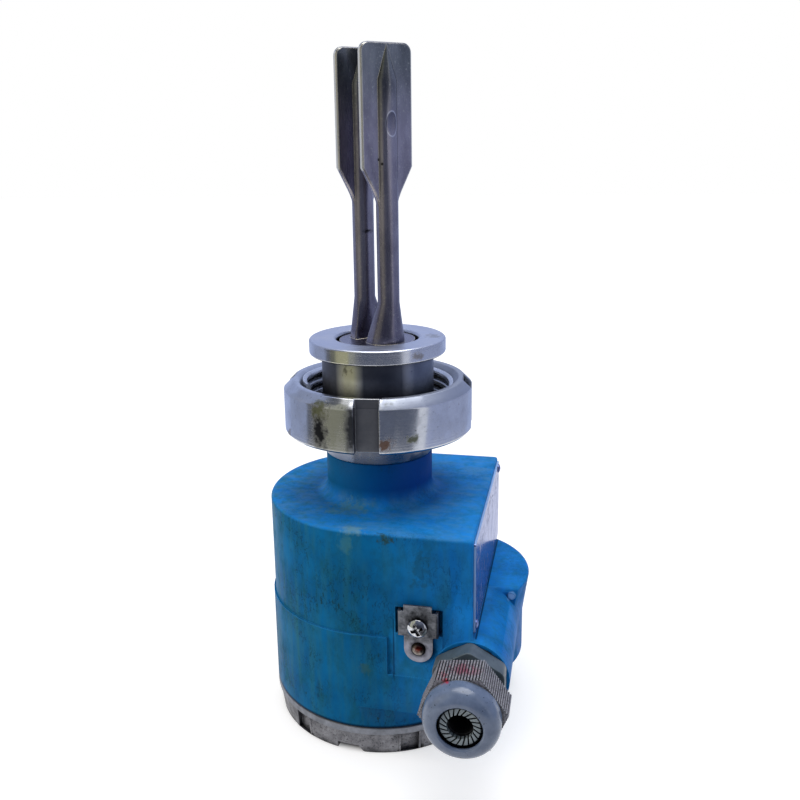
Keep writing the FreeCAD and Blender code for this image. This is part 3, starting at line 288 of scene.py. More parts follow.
def soften(node, round_off, body, material, sharp=30):
    """Copy of a solid's mesh, merged and cleared of flat seams, with its sharp edges rounded off."""
    bm = bmesh.new()
    bm.from_mesh(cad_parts[node].data)
    bmesh.ops.remove_doubles(bm, verts=bm.verts, dist=0.001 * MM)
    bmesh.ops.dissolve_limit(bm, angle_limit=math.radians(0.3), verts=bm.verts, edges=bm.edges)
    piece = as_piece(node + "_finished", bm, body, material, [node], sharp)
    if round_off:
        edge = piece.modifiers.new("edge", "BEVEL")
        edge.width = round_off
        edge.segments = 2
        edge.angle_limit = math.radians(30)
        edge.use_clamp_overlap = False
        edge.harden_normals = True
    return piece


def dress(node, material):
    """Give a solid that already has its form its finish."""
    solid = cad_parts[node]
    solid.data.materials.clear()
    solid.data.materials.append(material)


soften("housing_shell", 0, "housing", azure_powder_coat(), sharp=38)

# Process adapter: turned from stainless bar, with a stem in the neck and a sealing disc on top.
# A rubber ring seals the stem and a flat steel nut under the roof holds it.
SEALING_FACE = (160 * MM, 161.5 * MM)
# Painted bands, mostly of reflection and shade: measure, its span, its flank and the span of heights in mm,
# tint, share and added roughness.
ADAPTER_BANDS = (
    # Dark and olive reflections painted on the spigot.
    ("side", -30.0, -10.5, 2.2, 139.0, 156.5, "#2b2d34", 0.85, 0.22),
    ("side", -10.5, -2.5, 2.2, 139.0, 156.5, "#b4b18c", 0.75, 0.16),
    ("side", -2.5, 16.0, 2.2, 139.0, 156.5, "#2a2f3e", 0.93, 0.22),
    ("side", 16.0, 30.0, 2.2, 139.0, 156.5, "#4a5468", 0.85, 0.22),
    # Painted light and shade on the collar below the nut.
    ("side", -30.0, -6.0, 1.0, 114.0, 124.3, "#7b8190", 0.60, 0.1),
    ("side", -6.0, 30.0, 1.0, 114.0, 124.3, "#3b404d", 0.80, 0.1),
    # A painted bright reflection down the disc's side.
    ("side", -13.0, -5.0, 0.6, 156.9, 162.2, "#d2cfb2", 0.70, 0.0),
    # The disc's brushed top: duller, and painted lighter.
    ("radius", 17.0, 30.0, 1.0, 162.6, 163.5, "#a5aec6", 0.60, 0.22),
)
# Stains, and a painted shade where the spigot leaves the nut: centre and reach in mm, tint, share and
# raggedness.
ADAPTER_STAINS = (
    ((20.5, -19.0, 159.5), (3.0, 3.0, 2.4), "#5d5040", 0.60, 1.0),
    ((22.5, 4.0, 162.8), (4.0, 5.0, 1.5), "#4a4d55", 0.45, 1.0),
    ((-8.0, -24.0, 153.5), (4.0, 3.0, 2.2), "#24241f", 0.60, 1.2),
    # Painted shade where the spigot leaves the nut.
    ((0.0, 0.0, 139.0), (60.0, 60.0, 11.0), "#14161c", 0.75, 0.1),
)


def turned_stainless(name, metal, shade, gloss, bands, stains, shade_depth=0.88):
    """Stainless steel from the lathe: bright, with fine rings, dark where product has dried on, and painted
    light and shade.
    """
    material, tree, place = new_finish(name)
    side = add(tree, "SeparateXYZ", {0: place}, out="X")
    height = add(tree, "SeparateXYZ", {0: place}, out="Z")
    across = add(tree, "VectorMath", {0: place, 1: (1, 1, 0)}, operation="MULTIPLY")
    radius = add(tree, "VectorMath", {0: across}, out="Value", operation="LENGTH")
    lathe = add(tree, "CombineXYZ", {"X": radius, "Y": height})
    # The tool's feed is about 0.2 mm: it is drawn three times as wide, so that it shows.
    rings = add(tree, "TexNoise", {"Vector": lathe, "Scale": 1 / (0.6 * MM), "Detail": 3.0})
    clouds = speckle(tree, place, 11 * MM, 0.40, 0.68, detail=6.0)
    tint = layer(tree, linear(metal), linear(shade), clouds, 0.55)
    spots = speckle(tree, place, 1.6 * MM, 0.62, 0.70, detail=5.0, rough=0.7)
    colour = layer(tree, tint, linear("#33322e"), spots, 0.6)
    dull = add(tree, "MapRange", {"Value": clouds, "To Min": gloss, "To Max": gloss + 0.14})
    # A band, mostly of painted reflection and shade, covers a span of heights, and a span across the object
    # or of radius.
    for measure, near, far, flank, low, high, tone, share, matt in bands:
        along = span(tree, {"side": side, "radius": radius}[measure], near * MM, far * MM, flank * MM)
        upright = span(tree, height, low * MM, high * MM, 0.2 * MM)
        band = add(tree, "Math", {0: along, 1: upright}, operation="MULTIPLY")
        colour = layer(tree, colour, linear(tone), band, share)
        dull = add(tree, "Math", {0: band, 1: matt, 2: dull}, operation="MULTIPLY_ADD")
    # Painted highlight along the edges.
    colour = layer(tree, colour, linear("#dfe3ea"), edge_wear_and_highlight(tree, 0.6 * MM), 0.5)
    for centre, reach, tone, share, ragged in stains:
        spot = stain(tree, place, [c * MM for c in centre], [r * MM for r in reach], ragged)
        colour = layer(tree, colour, linear(tone), spot, share)
        dull = add(tree, "Math", {0: spot, 1: 0.25 * share, 2: dull}, operation="MULTIPLY_ADD")
    # Painted shade in the corners.
    corners = add(tree, "AmbientOcclusion", {"Distance": 9 * MM}, out="AO", samples=8)
    painted_shade = add(tree, "MapRange", {"Value": corners, "From Min": 0.80, "From Max": 0.30, "To Max": shade_depth})
    # The painted shade is weaker on the sealing face on top and above it.
    shade_weight = add(tree, "MapRange", {
        "Value": height, "To Min": 1.0, "To Max": 0.45,
        "From Min": SEALING_FACE[0], "From Max": SEALING_FACE[1],
    })
    colour = layer(tree, colour, linear("#1d2029"), painted_shade, shade_weight)
    ringed = add(tree, "MapRange", {
        "Value": rings, "From Min": 0.3, "From Max": 0.7, "To Min": -0.04, "To Max": 0.04,
    })
    roughness = add(tree, "Math", {0: dull, 1: ringed}, operation="ADD")
    normal = add(tree, "Bump", {"Height": rings, "Strength": 0.10, "Distance": 0.05 * MM})
    shader = add(tree, "BsdfPrincipled", {
        "Base Color": colour, "Metallic": 1.0, "Roughness": roughness, "Normal": normal,
    })
    add(tree, "OutputMaterial", {"Surface": shader})
    return material


def moulded_rubber():
    """Black nitrile rubber: dull, with a faint grey bloom."""
    material, tree, place = new_finish("moulded_nitrile_rubber")
    bloom = speckle(tree, place, 2 * MM, 0.45, 0.75)
    colour = layer(tree, linear("#0c0d0f"), linear("#24272a"), bloom, 0.5)
    normal = add(tree, "Bump", {"Height": bloom, "Strength": 0.1, "Distance": 0.05 * MM})
    shader = add(tree, "BsdfPrincipled", {
        "Base Color": colour, "Roughness": 0.62, "IOR": 1.5, "Normal": normal,
    })
    add(tree, "OutputMaterial", {"Surface": shader})
    return material


def bright_plated_steel():
    """Nickel-plated steel screw stock: mirror bright, with a few dull touches, a painted dark reflection and
    recesses in painted shade.
    """
    material, tree, place = new_finish("bright_plated_steel")
    touch = speckle(tree, place, 1.5 * MM, 0.5, 0.75)
    tint = layer(tree, linear("#d4d6da"), linear("#8f9196"), touch)
    # A dark reflection is painted on the upper right of the earth screw's head.
    low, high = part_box("earth_screw")
    reflection_place = ((low.x + high.x) / 2 + 0.9 * MM, low.y, (low.z + high.z) / 2 + 1.3 * MM)
    dark_reflection = stain(tree, place, reflection_place, (3.0 * MM, 9 * MM, 2.0 * MM), 0.2, grain=1 * MM)
    reflected = layer(tree, tint, linear("#3d3d42"), dark_reflection, 0.85)
    # Painted shade in the recesses.
    corners = add(tree, "AmbientOcclusion", {"Distance": 1.6 * MM}, out="AO", samples=8)
    painted_shade = add(tree, "MapRange", {"Value": corners, "From Min": 0.85, "From Max": 0.45})
    colour = layer(tree, reflected, linear("#060708"), painted_shade, 0.95)
    gloss = add(tree, "MapRange", {"Value": touch, "To Min": 0.08, "To Max": 0.25})
    shader = add(tree, "BsdfPrincipled", {"Base Color": colour, "Metallic": 1.0, "Roughness": gloss})
    add(tree, "OutputMaterial", {"Surface": shader})
    return material


adapter_steel = turned_stainless(
    "turned_stainless_adapter", "#c2c4ca", "#94969f", 0.17, ADAPTER_BANDS, ADAPTER_STAINS,
)
rubber = moulded_rubber()
plated = bright_plated_steel()
soften("process_adapter", 0.3 * MM, "housing", adapter_steel)
dress("neck_ring", rubber)
dress("adapter_lock_nut", plated)

# Fork: two forged tines, welded to a diaphragm that closes the hub.
# Stainless steel, ground by hand and blasted to a dark satin, with bright broken edges that are partly a
# painted highlight.
PADDLE_ALONG = (math.sin(math.radians(45)), math.cos(math.radians(45)), 0)
# Heights from where a zone starts to where it is full: grey paddles, feet in painted shade, hub, rims and
# crown.
GREY_ZONE = (244 * MM, 268 * MM)
FOOT_ZONE = (215 * MM, 172 * MM)
HUB_ZONE = (165 * MM, 163.5 * MM)
ABOVE_HUB = (168 * MM, 172 * MM)
CROWN_ZONE = (274.7 * MM, 275.0 * MM)
# The paddles' ground rims start this far from their middle.
RIM_START = (10.5 * MM, 10.9 * MM)
# Ground spot on the front tine: its middle, its reach and how far its painted shade runs up and down.
DIMPLE_PLACE = (9.55 * MM, -9.55 * MM, 246.2 * MM)
DIMPLE_REACH = (2.5 * MM, 2.5 * MM, 4.6 * MM)
DIMPLE_SHADE = 3.5 * MM
# Nicks: centre and reach in mm, tint, share and raggedness.
FORK_NICKS = (
    ((4.1, -10.1, 233.2), (0.8, 0.8, 0.8), "#08080b", 0.95, 0.2),
    ((5.7, -10.8, 231.6), (0.8, 0.8, 0.8), "#08080b", 0.95, 0.2),
    ((-3.5, 3.3, 205.4), (2.6, 2.6, 1.3), "#08080b", 0.90, 0.7),
)


def forged_steel_tint(tree, place, height):
    """Colour of the blasted steel: grey on the paddles, violet below, in painted shade at the feet, grainy.
    """
    clouds = speckle(tree, place, 9 * MM, 0.38, 0.70, stretch=(1, 1, 2.5), detail=6.0)
    upper = layer(tree, linear("#7d7f80"), linear("#585b5d"), clouds)
    lower = layer(tree, linear("#938e98"), linear("#6c6772"), clouds)
    foot = add(tree, "MapRange", {"Value": height, "From Min": FOOT_ZONE[0], "From Max": FOOT_ZONE[1]})
    # Painted shade on the feet.
    lower = layer(tree, lower, linear("#47455a"), foot, 0.35)
    hub = add(tree, "MapRange", {"Value": height, "From Min": HUB_ZONE[0], "From Max": HUB_ZONE[1]})
    lower = layer(tree, lower, linear("#7a7788"), hub)
    grey = add(tree, "MapRange", {"Value": height, "From Min": GREY_ZONE[0], "From Max": GREY_ZONE[1]})
    tint = layer(tree, lower, upper, grey)
    grains = speckle(tree, place, 0.8 * MM, 0.58, 0.70, detail=3.0)
    return layer(tree, tint, linear("#b9b9ae"), grains, 0.35)


def with_ground_edges(tree, place, height, tint):
    """Edges and paddle rims, ground bright by hand and given a painted highlight, and the crown's reflection
    painted darker.
    """
    width = add(tree, "VectorMath", {0: place, 1: PADDLE_ALONG}, out="Value", operation="DOT_PRODUCT")
    off_middle = add(tree, "Math", {0: width}, operation="ABSOLUTE")
    wide = add(tree, "MapRange", {"Value": off_middle, "From Min": RIM_START[0], "From Max": RIM_START[1]})
    above = add(tree, "MapRange", {"Value": height, "From Min": ABOVE_HUB[0], "From Max": ABOVE_HUB[1]})
    flank = add(tree, "Math", {0: wide, 1: above}, operation="MULTIPLY")
    worn_and_lit = add(tree, "Math", {0: flank, 1: edge_wear_and_highlight(tree, 0.7 * MM)}, operation="MAXIMUM")
    # Rims and edges are ground bright and carry a painted highlight.
    ground = layer(tree, tint, linear("#fff5da"), worn_and_lit, 0.85)
    # The crown's reflection is painted darker.
    crown = add(tree, "MapRange", {"Value": height, "From Min": CROWN_ZONE[0], "From Max": CROWN_ZONE[1]})
    return layer(tree, ground, linear("#55575f"), crown)


def with_ground_spot(tree, place, height, tint):
    """Ground spot on the front tine: a lip with a painted highlight round a hollow in painted shade, darker
    towards its top.
    """
    offset = add(tree, "VectorMath", {0: place, 1: DIMPLE_PLACE}, operation="SUBTRACT")
    shape = add(tree, "VectorMath", {0: offset, 1: DIMPLE_REACH}, operation="DIVIDE")
    off_spot = add(tree, "VectorMath", {0: shape}, out="Value", operation="LENGTH")
    inside = add(tree, "MapRange", {"Value": off_spot, "From Min": 1.02, "From Max": 0.92})
    deep = add(tree, "MapRange", {
        "Value": height, "To Max": 0.7,
        "From Min": DIMPLE_PLACE[2] - DIMPLE_SHADE, "From Max": DIMPLE_PLACE[2] + DIMPLE_SHADE,
    })
    hollow = layer(tree, tint, linear("#4d4d5b"), inside, deep)
    return layer(tree, hollow, linear("#d3d4dc"), span(tree, off_spot, 0.94, 1.04, 0.04), 0.55)


def satin_stainless():
    """Ground and blasted stainless steel: satin, with long grinding marks, nicks and corners in painted
    shade.
    """
    material, tree, place = new_finish("satin_forged_stainless")
    height = add(tree, "SeparateXYZ", {0: place}, out="Z")
    blasted = forged_steel_tint(tree, place, height)
    edged = with_ground_edges(tree, place, height, blasted)
    spotted = with_ground_spot(tree, place, height, edged)
    nicked = marked(tree, place, spotted, FORK_NICKS)
    # Painted shade in the corners.
    corners = add(tree, "AmbientOcclusion", {"Distance": 5 * MM}, out="AO", samples=6)
    painted_shade = add(tree, "MapRange", {"Value": corners, "From Min": 0.75, "From Max": 0.35})
    colour = layer(tree, nicked, linear("#1b1b26"), painted_shade, 0.7)
    # Grinding marks are about 0.2 mm wide: they are drawn three times as wide, so that they show.
    drawn_out = add(tree, "Mapping", {"Vector": place, "Scale": (1, 1, 0.05)})
    grinding = add(tree, "TexNoise", {"Vector": drawn_out, "Scale": 1 / (0.7 * MM), "Detail": 3.0})
    gloss = add(tree, "MapRange", {"Value": grinding, "To Min": 0.20, "To Max": 0.38})
    rounded = add(tree, "Bevel", {"Radius": 0.3 * MM}, samples=4)
    normal = add(tree, "Bump", {
        "Height": grinding, "Strength": 0.12, "Distance": 0.05 * MM, "Normal": rounded,
    })
    shader = add(tree, "BsdfPrincipled", {
        "Base Color": colour, "Metallic": 1.0, "Roughness": gloss, "Normal": normal,
    })
    add(tree, "OutputMaterial", {"Surface": shader})
    return material


soften("fork", 0, "housing", satin_stainless(), sharp=16)

# Drive inside the hub: ceramic discs with brass shims between insulators, pressed by a hollow screw.
# A lead runs from it down to the electronics.


def plain_finish(name, colour, shade, gloss, metallic=0.0):
    """Evenly made surface with a slight cloudiness, for pieces that are mostly hidden."""
    material, tree, place = new_finish(name)
    clouds = speckle(tree, place, 2 * MM, 0.40, 0.70)
    tint = layer(tree, linear(colour), linear(shade), clouds, 0.6)
    roughness = add(tree, "MapRange", {"Value": clouds, "To Min": gloss, "To Max": gloss + 0.12})
    normal = add(tree, "Bump", {"Height": clouds, "Strength": 0.05, "Distance": 0.05 * MM})
    shader = add(tree, "BsdfPrincipled", {
        "Base Color": tint, "Metallic": metallic, "Roughness": roughness, "Normal": normal,
    })
    add(tree, "OutputMaterial", {"Surface": shader})
    return material


ceramic = plain_finish("fired_piezo_ceramic", "#cfc6b4", "#a89f8d", 0.35)
brass = plain_finish("rolled_brass_shim", "#c79a4b", "#8f6a2c", 0.28, metallic=1.0)
dress("piezo_discs", ceramic)
dress("insulating_washers", ceramic)
dress("electrode_shims", brass)
dress("pressure_screw", plated)
dress("sensor_lead", rubber)

# Union nut: slotted round nut of a dairy pipe union, turned and polished stainless steel.
# It hangs loose on the spigot and has a coarse round thread in its bore.
THREAD_WALL = 30.8 * MM
THREAD_PITCH = 25.4 / 6 * MM
THREAD_DEPTH = 1.7 * MM
THREAD_TURNS = 2.6
# Half of a ridge's height, how far its round flank is set back, and how far its root lies in the wall.
RIDGE_HALF = THREAD_PITCH * 0.36
RIDGE_BACK = 0.1 * MM
RIDGE_ROOT = 0.3 * MM
STEPS_PER_TURN = 64
# Height of the lip at the nut's foot, and how far above it the ridge starts.
NUT_LIP = 6.5 * MM
THREAD_LEAD = THREAD_PITCH * 0.6
# The slots are in painted shade and dull, the chamfer is scuffed and its reflection painted darker, and the
# band left of the front slot is olive.
NUT_BANDS = (
    ("radius", 33.8, 37.5, 1.0, 125.0, 142.6, "#2a2b34", 0.80, 0.25),
    ("radius", 33.5, 35.4, 0.15, 142.4, 146.0, "#2a2b34", 0.85, 0.25),
    ("side", 9.0, 41.0, 1.0, 142.8, 147.0, "#868d9d", 0.75, 0.30),
    ("side", -17.5, -2.5, 0.8, 125.0, 142.4, "#7b7a6c", 0.55, 0.05),
)
# Stains, and a painted shade beside the front slot: centre and reach in mm, tint, share and raggedness.
NUT_STAINS = (
    ((-15.2, -35.9, 141.5), (5.0, 4.5, 4.6), "#5a5c38", 0.85, 0.9),
    ((-15.0, -36.0, 132.0), (4.8, 5.0, 8.2), "#0a0b10", 0.97, 0.5),
    # Painted shade beside the front slot.
    ((-1.4, -39.0, 134.5), (3.6, 3.0, 15.0), "#1c1f26", 0.92, 0.25),
    ((-31.6, -22.8, 126.5), (3.0, 3.0, 3.2), "#3b3438", 0.70, 1.0),
    ((11.0, -37.4, 129.4), (3.6, 3.0, 2.8), "#5f3c1e", 0.85, 1.0),
    ((20.5, -33.2, 130.5), (3.4, 3.0, 2.4), "#4c5036", 0.88, 0.8),
    ((13.0, -37.0, 146.0), (6.0, 4.0, 3.0), "#77786c", 0.45, 1.0),
)


def round_thread(start):
    """Inner thread ridge: a round profile swept up a helix and closed at both ends."""
    bm = bmesh.new()
    bulge = [(math.cos(math.radians(a)), math.sin(math.radians(a))) for a in range(-90, 91, 30)]
    rim = [
        bm.verts.new((THREAD_WALL - THREAD_DEPTH * c + RIDGE_BACK, 0, start + RIDGE_HALF * s))
        for c, s in bulge
    ]
    rim += [bm.verts.new((THREAD_WALL + RIDGE_ROOT, 0, start + RIDGE_HALF * s)) for s in (1, -1)]
    section = bm.faces.new(rim)
    steps = round(THREAD_TURNS * STEPS_PER_TURN)
    bmesh.ops.spin(
        bm, geom=[section, *section.edges, *section.verts], cent=(0, 0, 0), axis=(0, 0, 1),
        dvec=(0, 0, THREAD_PITCH * THREAD_TURNS / steps), angle=2 * math.pi * THREAD_TURNS, steps=steps,
    )
    bmesh.ops.remove_doubles(bm, verts=bm.verts, dist=0.001 * MM)
    bmesh.ops.holes_fill(bm, edges=[e for e in bm.edges if e.is_boundary])
    bmesh.ops.recalc_face_normals(bm, faces=bm.faces)
    return bm


nut_steel = turned_stainless("polished_stainless_nut", "#c6c8cc", "#92959c", 0.13, NUT_BANDS, NUT_STAINS)
thread_steel = turned_stainless("rolled_stainless_thread", "#d6d8dc", "#a2a5ac", 0.22, (), (), shade_depth=0.0)
soften("union_nut", 0.4 * MM, "union_nut", nut_steel)
nut_low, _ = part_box("union_nut")
nut_thread = round_thread(nut_low.z + NUT_LIP + THREAD_LEAD)
as_piece("union_nut_thread", nut_thread, "union_nut", thread_steel)

# Electronic insert: black moulded cup, potted, screwed under three bosses of the casting.
# It carries a green terminal block, a white slide switch and a red lamp.
insert_black = plain_finish("moulded_black_polycarbonate", "#1a1b1d", "#2b2d30", 0.45)
terminal_green = plain_finish("moulded_green_polyamide", "#2f5a3a", "#24462d", 0.42)
switch_white = plain_finish("moulded_white_acetal", "#d9d8d2", "#bdbcb5", 0.30)
lamp_red = plain_finish("cast_red_lamp_resin", "#a3140f", "#7c0d0a", 0.10)
dress("electronics_insert", insert_black)
dress("terminal_block", terminal_green)
dress("terminal_screws", plated)
dress("insert_screws", plated)
dress("mode_slider", switch_white)
dress("status_lamp", lamp_red)

# Lid: die-cast aluminium, bare, screwed into the housing's rim over a rubber ring.
# Its gripped ring has framed panels and notches for a bar.
FLANGE_ZONE = (9.0 * MM, 9.5 * MM)
# The bars beside the panels: what lies this far out and this low is drawn in by the ring's draft.
BAR_RADIUS = 46.1 * MM
BAR_FOOT = 1 * MM
BAR_DRAFT = 0.65 * MM


def bare_cast_aluminium():
    """Uncoated die casting: a pale turned flange over a mottled grey ring with dark pores, and painted shade
    in its corners.
    """
    material, tree, place = new_finish("bare_cast_aluminium")
    height = add(tree, "SeparateXYZ", {0: place}, out="Z")
    flange = add(tree, "MapRange", {"Value": height, "From Min": FLANGE_ZONE[0], "From Max": FLANGE_ZONE[1]})
    clouds = speckle(tree, place, 6 * MM, 0.36, 0.68, detail=7.0, rough=0.7)
    mottled = layer(tree, linear("#8b8b90"), linear("#58585d"), clouds)
    pores = speckle(tree, place, 0.9 * MM, 0.54, 0.68, detail=3.0)
    pitted = layer(tree, mottled, linear("#2f2f31"), pores, 0.75)
    turned = layer(tree, linear("#8b8e96"), linear("#6e7178"), clouds)
    tint = layer(tree, pitted, turned, flange)
    # Painted shade in the corners.
    corners = add(tree, "AmbientOcclusion", {"Distance": 3 * MM}, out="AO", samples=6)
    painted_shade = add(tree, "MapRange", {"Value": corners, "From Min": 0.9, "From Max": 0.4})
    colour = layer(tree, tint, linear("#1d1c1c"), painted_shade, 0.9)
    gloss = add(tree, "MapRange", {"Value": clouds, "To Min": 0.42, "To Max": 0.62})
    normal = add(tree, "Bump", {"Height": pores, "Strength": 0.25, "Distance": 0.08 * MM}, invert=True)
    shader = add(tree, "BsdfPrincipled", {
        "Base Color": colour, "Metallic": 0.85, "Roughness": gloss, "Normal": normal,
    })
    add(tree, "OutputMaterial", {"Surface": shader})
    return material


lid = soften("housing_cover", 0.2 * MM, "cover", bare_cast_aluminium())
drafted = bmesh.new()
drafted.from_mesh(lid.data)
for vert in drafted.verts:
    away = vert.co.xy.length
    if away > BAR_RADIUS and vert.co.z < BAR_FOOT:
        vert.co.xy = vert.co.xy * (1 - BAR_DRAFT / away)
drafted.to_mesh(lid.data)
drafted.free()
dress("cover_seal", rubber)

# Nameplate: bare sheet aluminium on the flat side, rolled and anodised.
# Two drive rivets of the same metal hold it.


def sheet_aluminium():
    """Rolled and anodised sheet: silvery, glossy enough to mirror the block below, with matt edges painted
    pale blue as a reflection.
    """
    material, tree, place = new_finish("rolled_anodised_aluminium")
    front = add(tree, "SeparateXYZ", {0: place}, out="Y")
    height = add(tree, "SeparateXYZ", {0: place}, out="Z")
    low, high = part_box("name_plate")
    # Rolling lines and scratches are finer than the render can show, so they are drawn coarser.
    lines = speckle(tree, place, 0.9 * MM, 0.35, 0.65, stretch=(1, 30, 1))
    tint = layer(tree, linear("#7886ae"), linear("#606d94"), lines, 0.4)
    near_top = span(tree, height, high.z - 11 * MM, high.z - 2 * MM, 1 * MM)
    scratches = speckle(tree, place, 0.9 * MM, 0.55, 0.61, stretch=(1, 7, 1), most=0.85)
    scratched = add(tree, "Math", {0: near_top, 1: scratches}, operation="MULTIPLY")
    dotted = layer(tree, tint, linear("#4c5878"), scratched)
    # Painted shade along the rear edge.
    rear = add(tree, "MapRange", {
        "Value": front, "From Min": high.y - 0.9 * MM, "From Max": high.y - 0.6 * MM,
    })
    shaded = layer(tree, dotted, linear("#28343f"), rear)
    # Front and top edges painted pale blue as a reflection, and matt.
    fore = add(tree, "MapRange", {
        "Value": front, "From Min": low.y + 0.35 * MM, "From Max": low.y + 0.15 * MM,
    })
    crest = add(tree, "MapRange", {
        "Value": height, "From Min": high.z - 0.35 * MM, "From Max": high.z - 0.15 * MM,
    })
    edge = add(tree, "Math", {0: fore, 1: crest}, operation="MAXIMUM")
    colour = layer(tree, shaded, linear("#8fb2de"), edge)
    dust = speckle(tree, place, 2.0 * MM, 0.48, 0.70, stretch=(1, 1, 6), detail=3.0, most=0.45)
    dulled = add(tree, "Math", {0: edge, 1: scratched}, operation="MAXIMUM")
    dulled = add(tree, "Math", {0: dulled, 1: dust}, operation="MAXIMUM")
    polished = add(tree, "MapRange", {"Value": dulled, "To Min": 0.70, "To Max": 0.0})
    gloss = add(tree, "MapRange", {"Value": dulled, "To Min": 0.11, "To Max": 0.55})
    shader = add(tree, "BsdfPrincipled", {
        "Base Color": colour, "Metallic": polished, "Roughness": gloss, "Specular Tint": linear("#9da9d8"),
    })
    add(tree, "OutputMaterial", {"Surface": shader})
    return material


plate_metal = sheet_aluminium()
soften("name_plate", 0.12 * MM, "housing", plate_metal)
dress("plate_rivets", plate_metal)

# Outside earth terminal: a riveted tongue, a bent saddle and a cross-recessed screw.
# Zinc-plated sheet steel, dull; the screw is bright and the rivet has rusted.
screw_low, screw_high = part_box("earth_screw")
rivet_low, rivet_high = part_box("earth_rivet")
SCREW_MIDDLE = ((screw_low.x + screw_high.x) / 2, screw_low.y, (screw_low.z + screw_high.z) / 2)
RIVET_MIDDLE = ((rivet_low.x + rivet_high.x) / 2, rivet_low.y, (rivet_low.z + rivet_high.z) / 2)
RIVET_RADIUS = (rivet_high.x - rivet_low.x) / 2


def dull_zinc():
    """Zinc-plated pressed steel, weathered: chalky grey with dark pinholes, in painted shadow round the
    screw.
    """
    material, tree, place = new_finish("weathered_zinc_plate")
    height = add(tree, "SeparateXYZ", {0: place}, out="Z")
    clouds = speckle(tree, place, 2.5 * MM, 0.38, 0.66, detail=6.0)
    tint = layer(tree, linear("#74767c"), linear("#46484d"), clouds)
    holes = speckle(tree, place, 0.6 * MM, 0.62, 0.70)
    pitted = layer(tree, tint, linear("#3a3a3b"), holes, 0.6)
    # The tongue's end, away from the wet screw, is still pale, and rust and a painted shadow darken it round
    # its rivet.
    end = add(tree, "MapRange", {
        "Value": height, "From Min": RIVET_MIDDLE[2] + 4 * MM, "From Max": RIVET_MIDDLE[2] + 1 * MM,
    })
    pale = layer(tree, pitted, linear("#a3a3b2"), end, 0.55)
    rust_and_shadow = stain(tree, place, RIVET_MIDDLE, (4.4 * MM, 9 * MM, 4.4 * MM), 0.3)
    rusty = layer(tree, pale, linear("#1c1512"), rust_and_shadow)
    # Painted shade in the corners, and a painted shadow over the screw.
    corners = add(tree, "AmbientOcclusion", {"Distance": 4 * MM}, out="AO", samples=8)
    painted_shade = add(tree, "MapRange", {"Value": corners, "From Min": 0.85, "From Max": 0.40, "To Max": 0.95})
    over_screw = (SCREW_MIDDLE[0], SCREW_MIDDLE[1], SCREW_MIDDLE[2] + 3.0 * MM)
    soot_and_shadow = stain(tree, place, over_screw, (7 * MM, 9 * MM, 5 * MM), 0.4)
    sooty_and_shaded = add(tree, "Math", {0: soot_and_shadow, 1: 0.92}, operation="MULTIPLY")
    shade_round_screw = add(tree, "Math", {0: painted_shade, 1: sooty_and_shaded}, operation="MAXIMUM")
    shaded_round_screw = layer(tree, rusty, linear("#0c0c0e"), shade_round_screw)
    # Paler edges: wear and a painted highlight.
    colour = layer(tree, shaded_round_screw, linear("#b9bcc4"), edge_wear_and_highlight(tree, 0.4 * MM), 0.6)
    gloss = add(tree, "MapRange", {"Value": clouds, "To Min": 0.38, "To Max": 0.58})
    normal = add(tree, "Bump", {"Height": clouds, "Strength": 0.15, "Distance": 0.05 * MM})
    shader = add(tree, "BsdfPrincipled", {
        "Base Color": colour, "Metallic": 0.9, "Roughness": gloss, "Normal": normal,
    })
    add(tree, "OutputMaterial", {"Surface": shader})
    return material


def rusted_plated_steel():
    """Plated rivet that rusts: a grey crown, red rust above it and a black ring round its foot, dirt and
    painted shade.
    """
    material, tree, place = new_finish("rusted_plated_steel")
    clouds = speckle(tree, place, 1.2 * MM, 0.40, 0.65)
    crown = layer(tree, linear("#8f8781"), linear("#554a45"), clouds)
    upper = (
        RIVET_MIDDLE[0] + 0.15 * RIVET_RADIUS, RIVET_MIDDLE[1], RIVET_MIDDLE[2] + 0.40 * RIVET_RADIUS,
    )
    reach = (0.90 * RIVET_RADIUS, 9 * MM, 0.70 * RIVET_RADIUS)
    rusty = layer(tree, crown, linear("#521a10"), stain(tree, place, upper, reach, 0.3, grain=1 * MM))
    offset = add(tree, "VectorMath", {0: place, 1: RIVET_MIDDLE}, operation="SUBTRACT")
    across = add(tree, "VectorMath", {0: offset, 1: (1, 0, 1)}, operation="MULTIPLY")
    away = add(tree, "VectorMath", {0: across}, out="Value", operation="LENGTH")
    # A black ring round the foot: dirt and painted shade.
    foot = add(tree, "MapRange", {
        "Value": away, "From Min": 0.66 * RIVET_RADIUS, "From Max": 0.86 * RIVET_RADIUS,
    })
    colour = layer(tree, rusty, linear("#120d0b"), foot, 0.95)
    shader = add(tree, "BsdfPrincipled", {"Base Color": colour, "Metallic": 0.9, "Roughness": 0.22})
    add(tree, "OutputMaterial", {"Surface": shader})
    return material


zinc = dull_zinc()
soften("earth_strip", 0.12 * MM, "housing", zinc)
soften("earth_saddle", 0.12 * MM, "earth_clamp", zinc)
soften("earth_screw", 0.10 * MM, "earth_screw", plated)
dress("earth_rivet", rusted_plated_steel())

# Cable gland: moulded polyamide, with a hexagon flange, a ribbed dome nut, a claw and a rubber bush.
# It is screwed into the conduit's front end over a rubber ring.
# Axis of the gland across and up, and the front end of the dome nut's grip.
GLAND_AXIS = (45.2 * MM, 42 * MM)
GRIP_FRONT = -71.4 * MM
# Corners of the hexagon: long edges that lie this far off the axis, turned off by a small width.
CORNER_RADIUS = 15.3 * MM
CORNER_LENGTH = 5 * MM
CORNER_WIDTH = 1.8 * MM
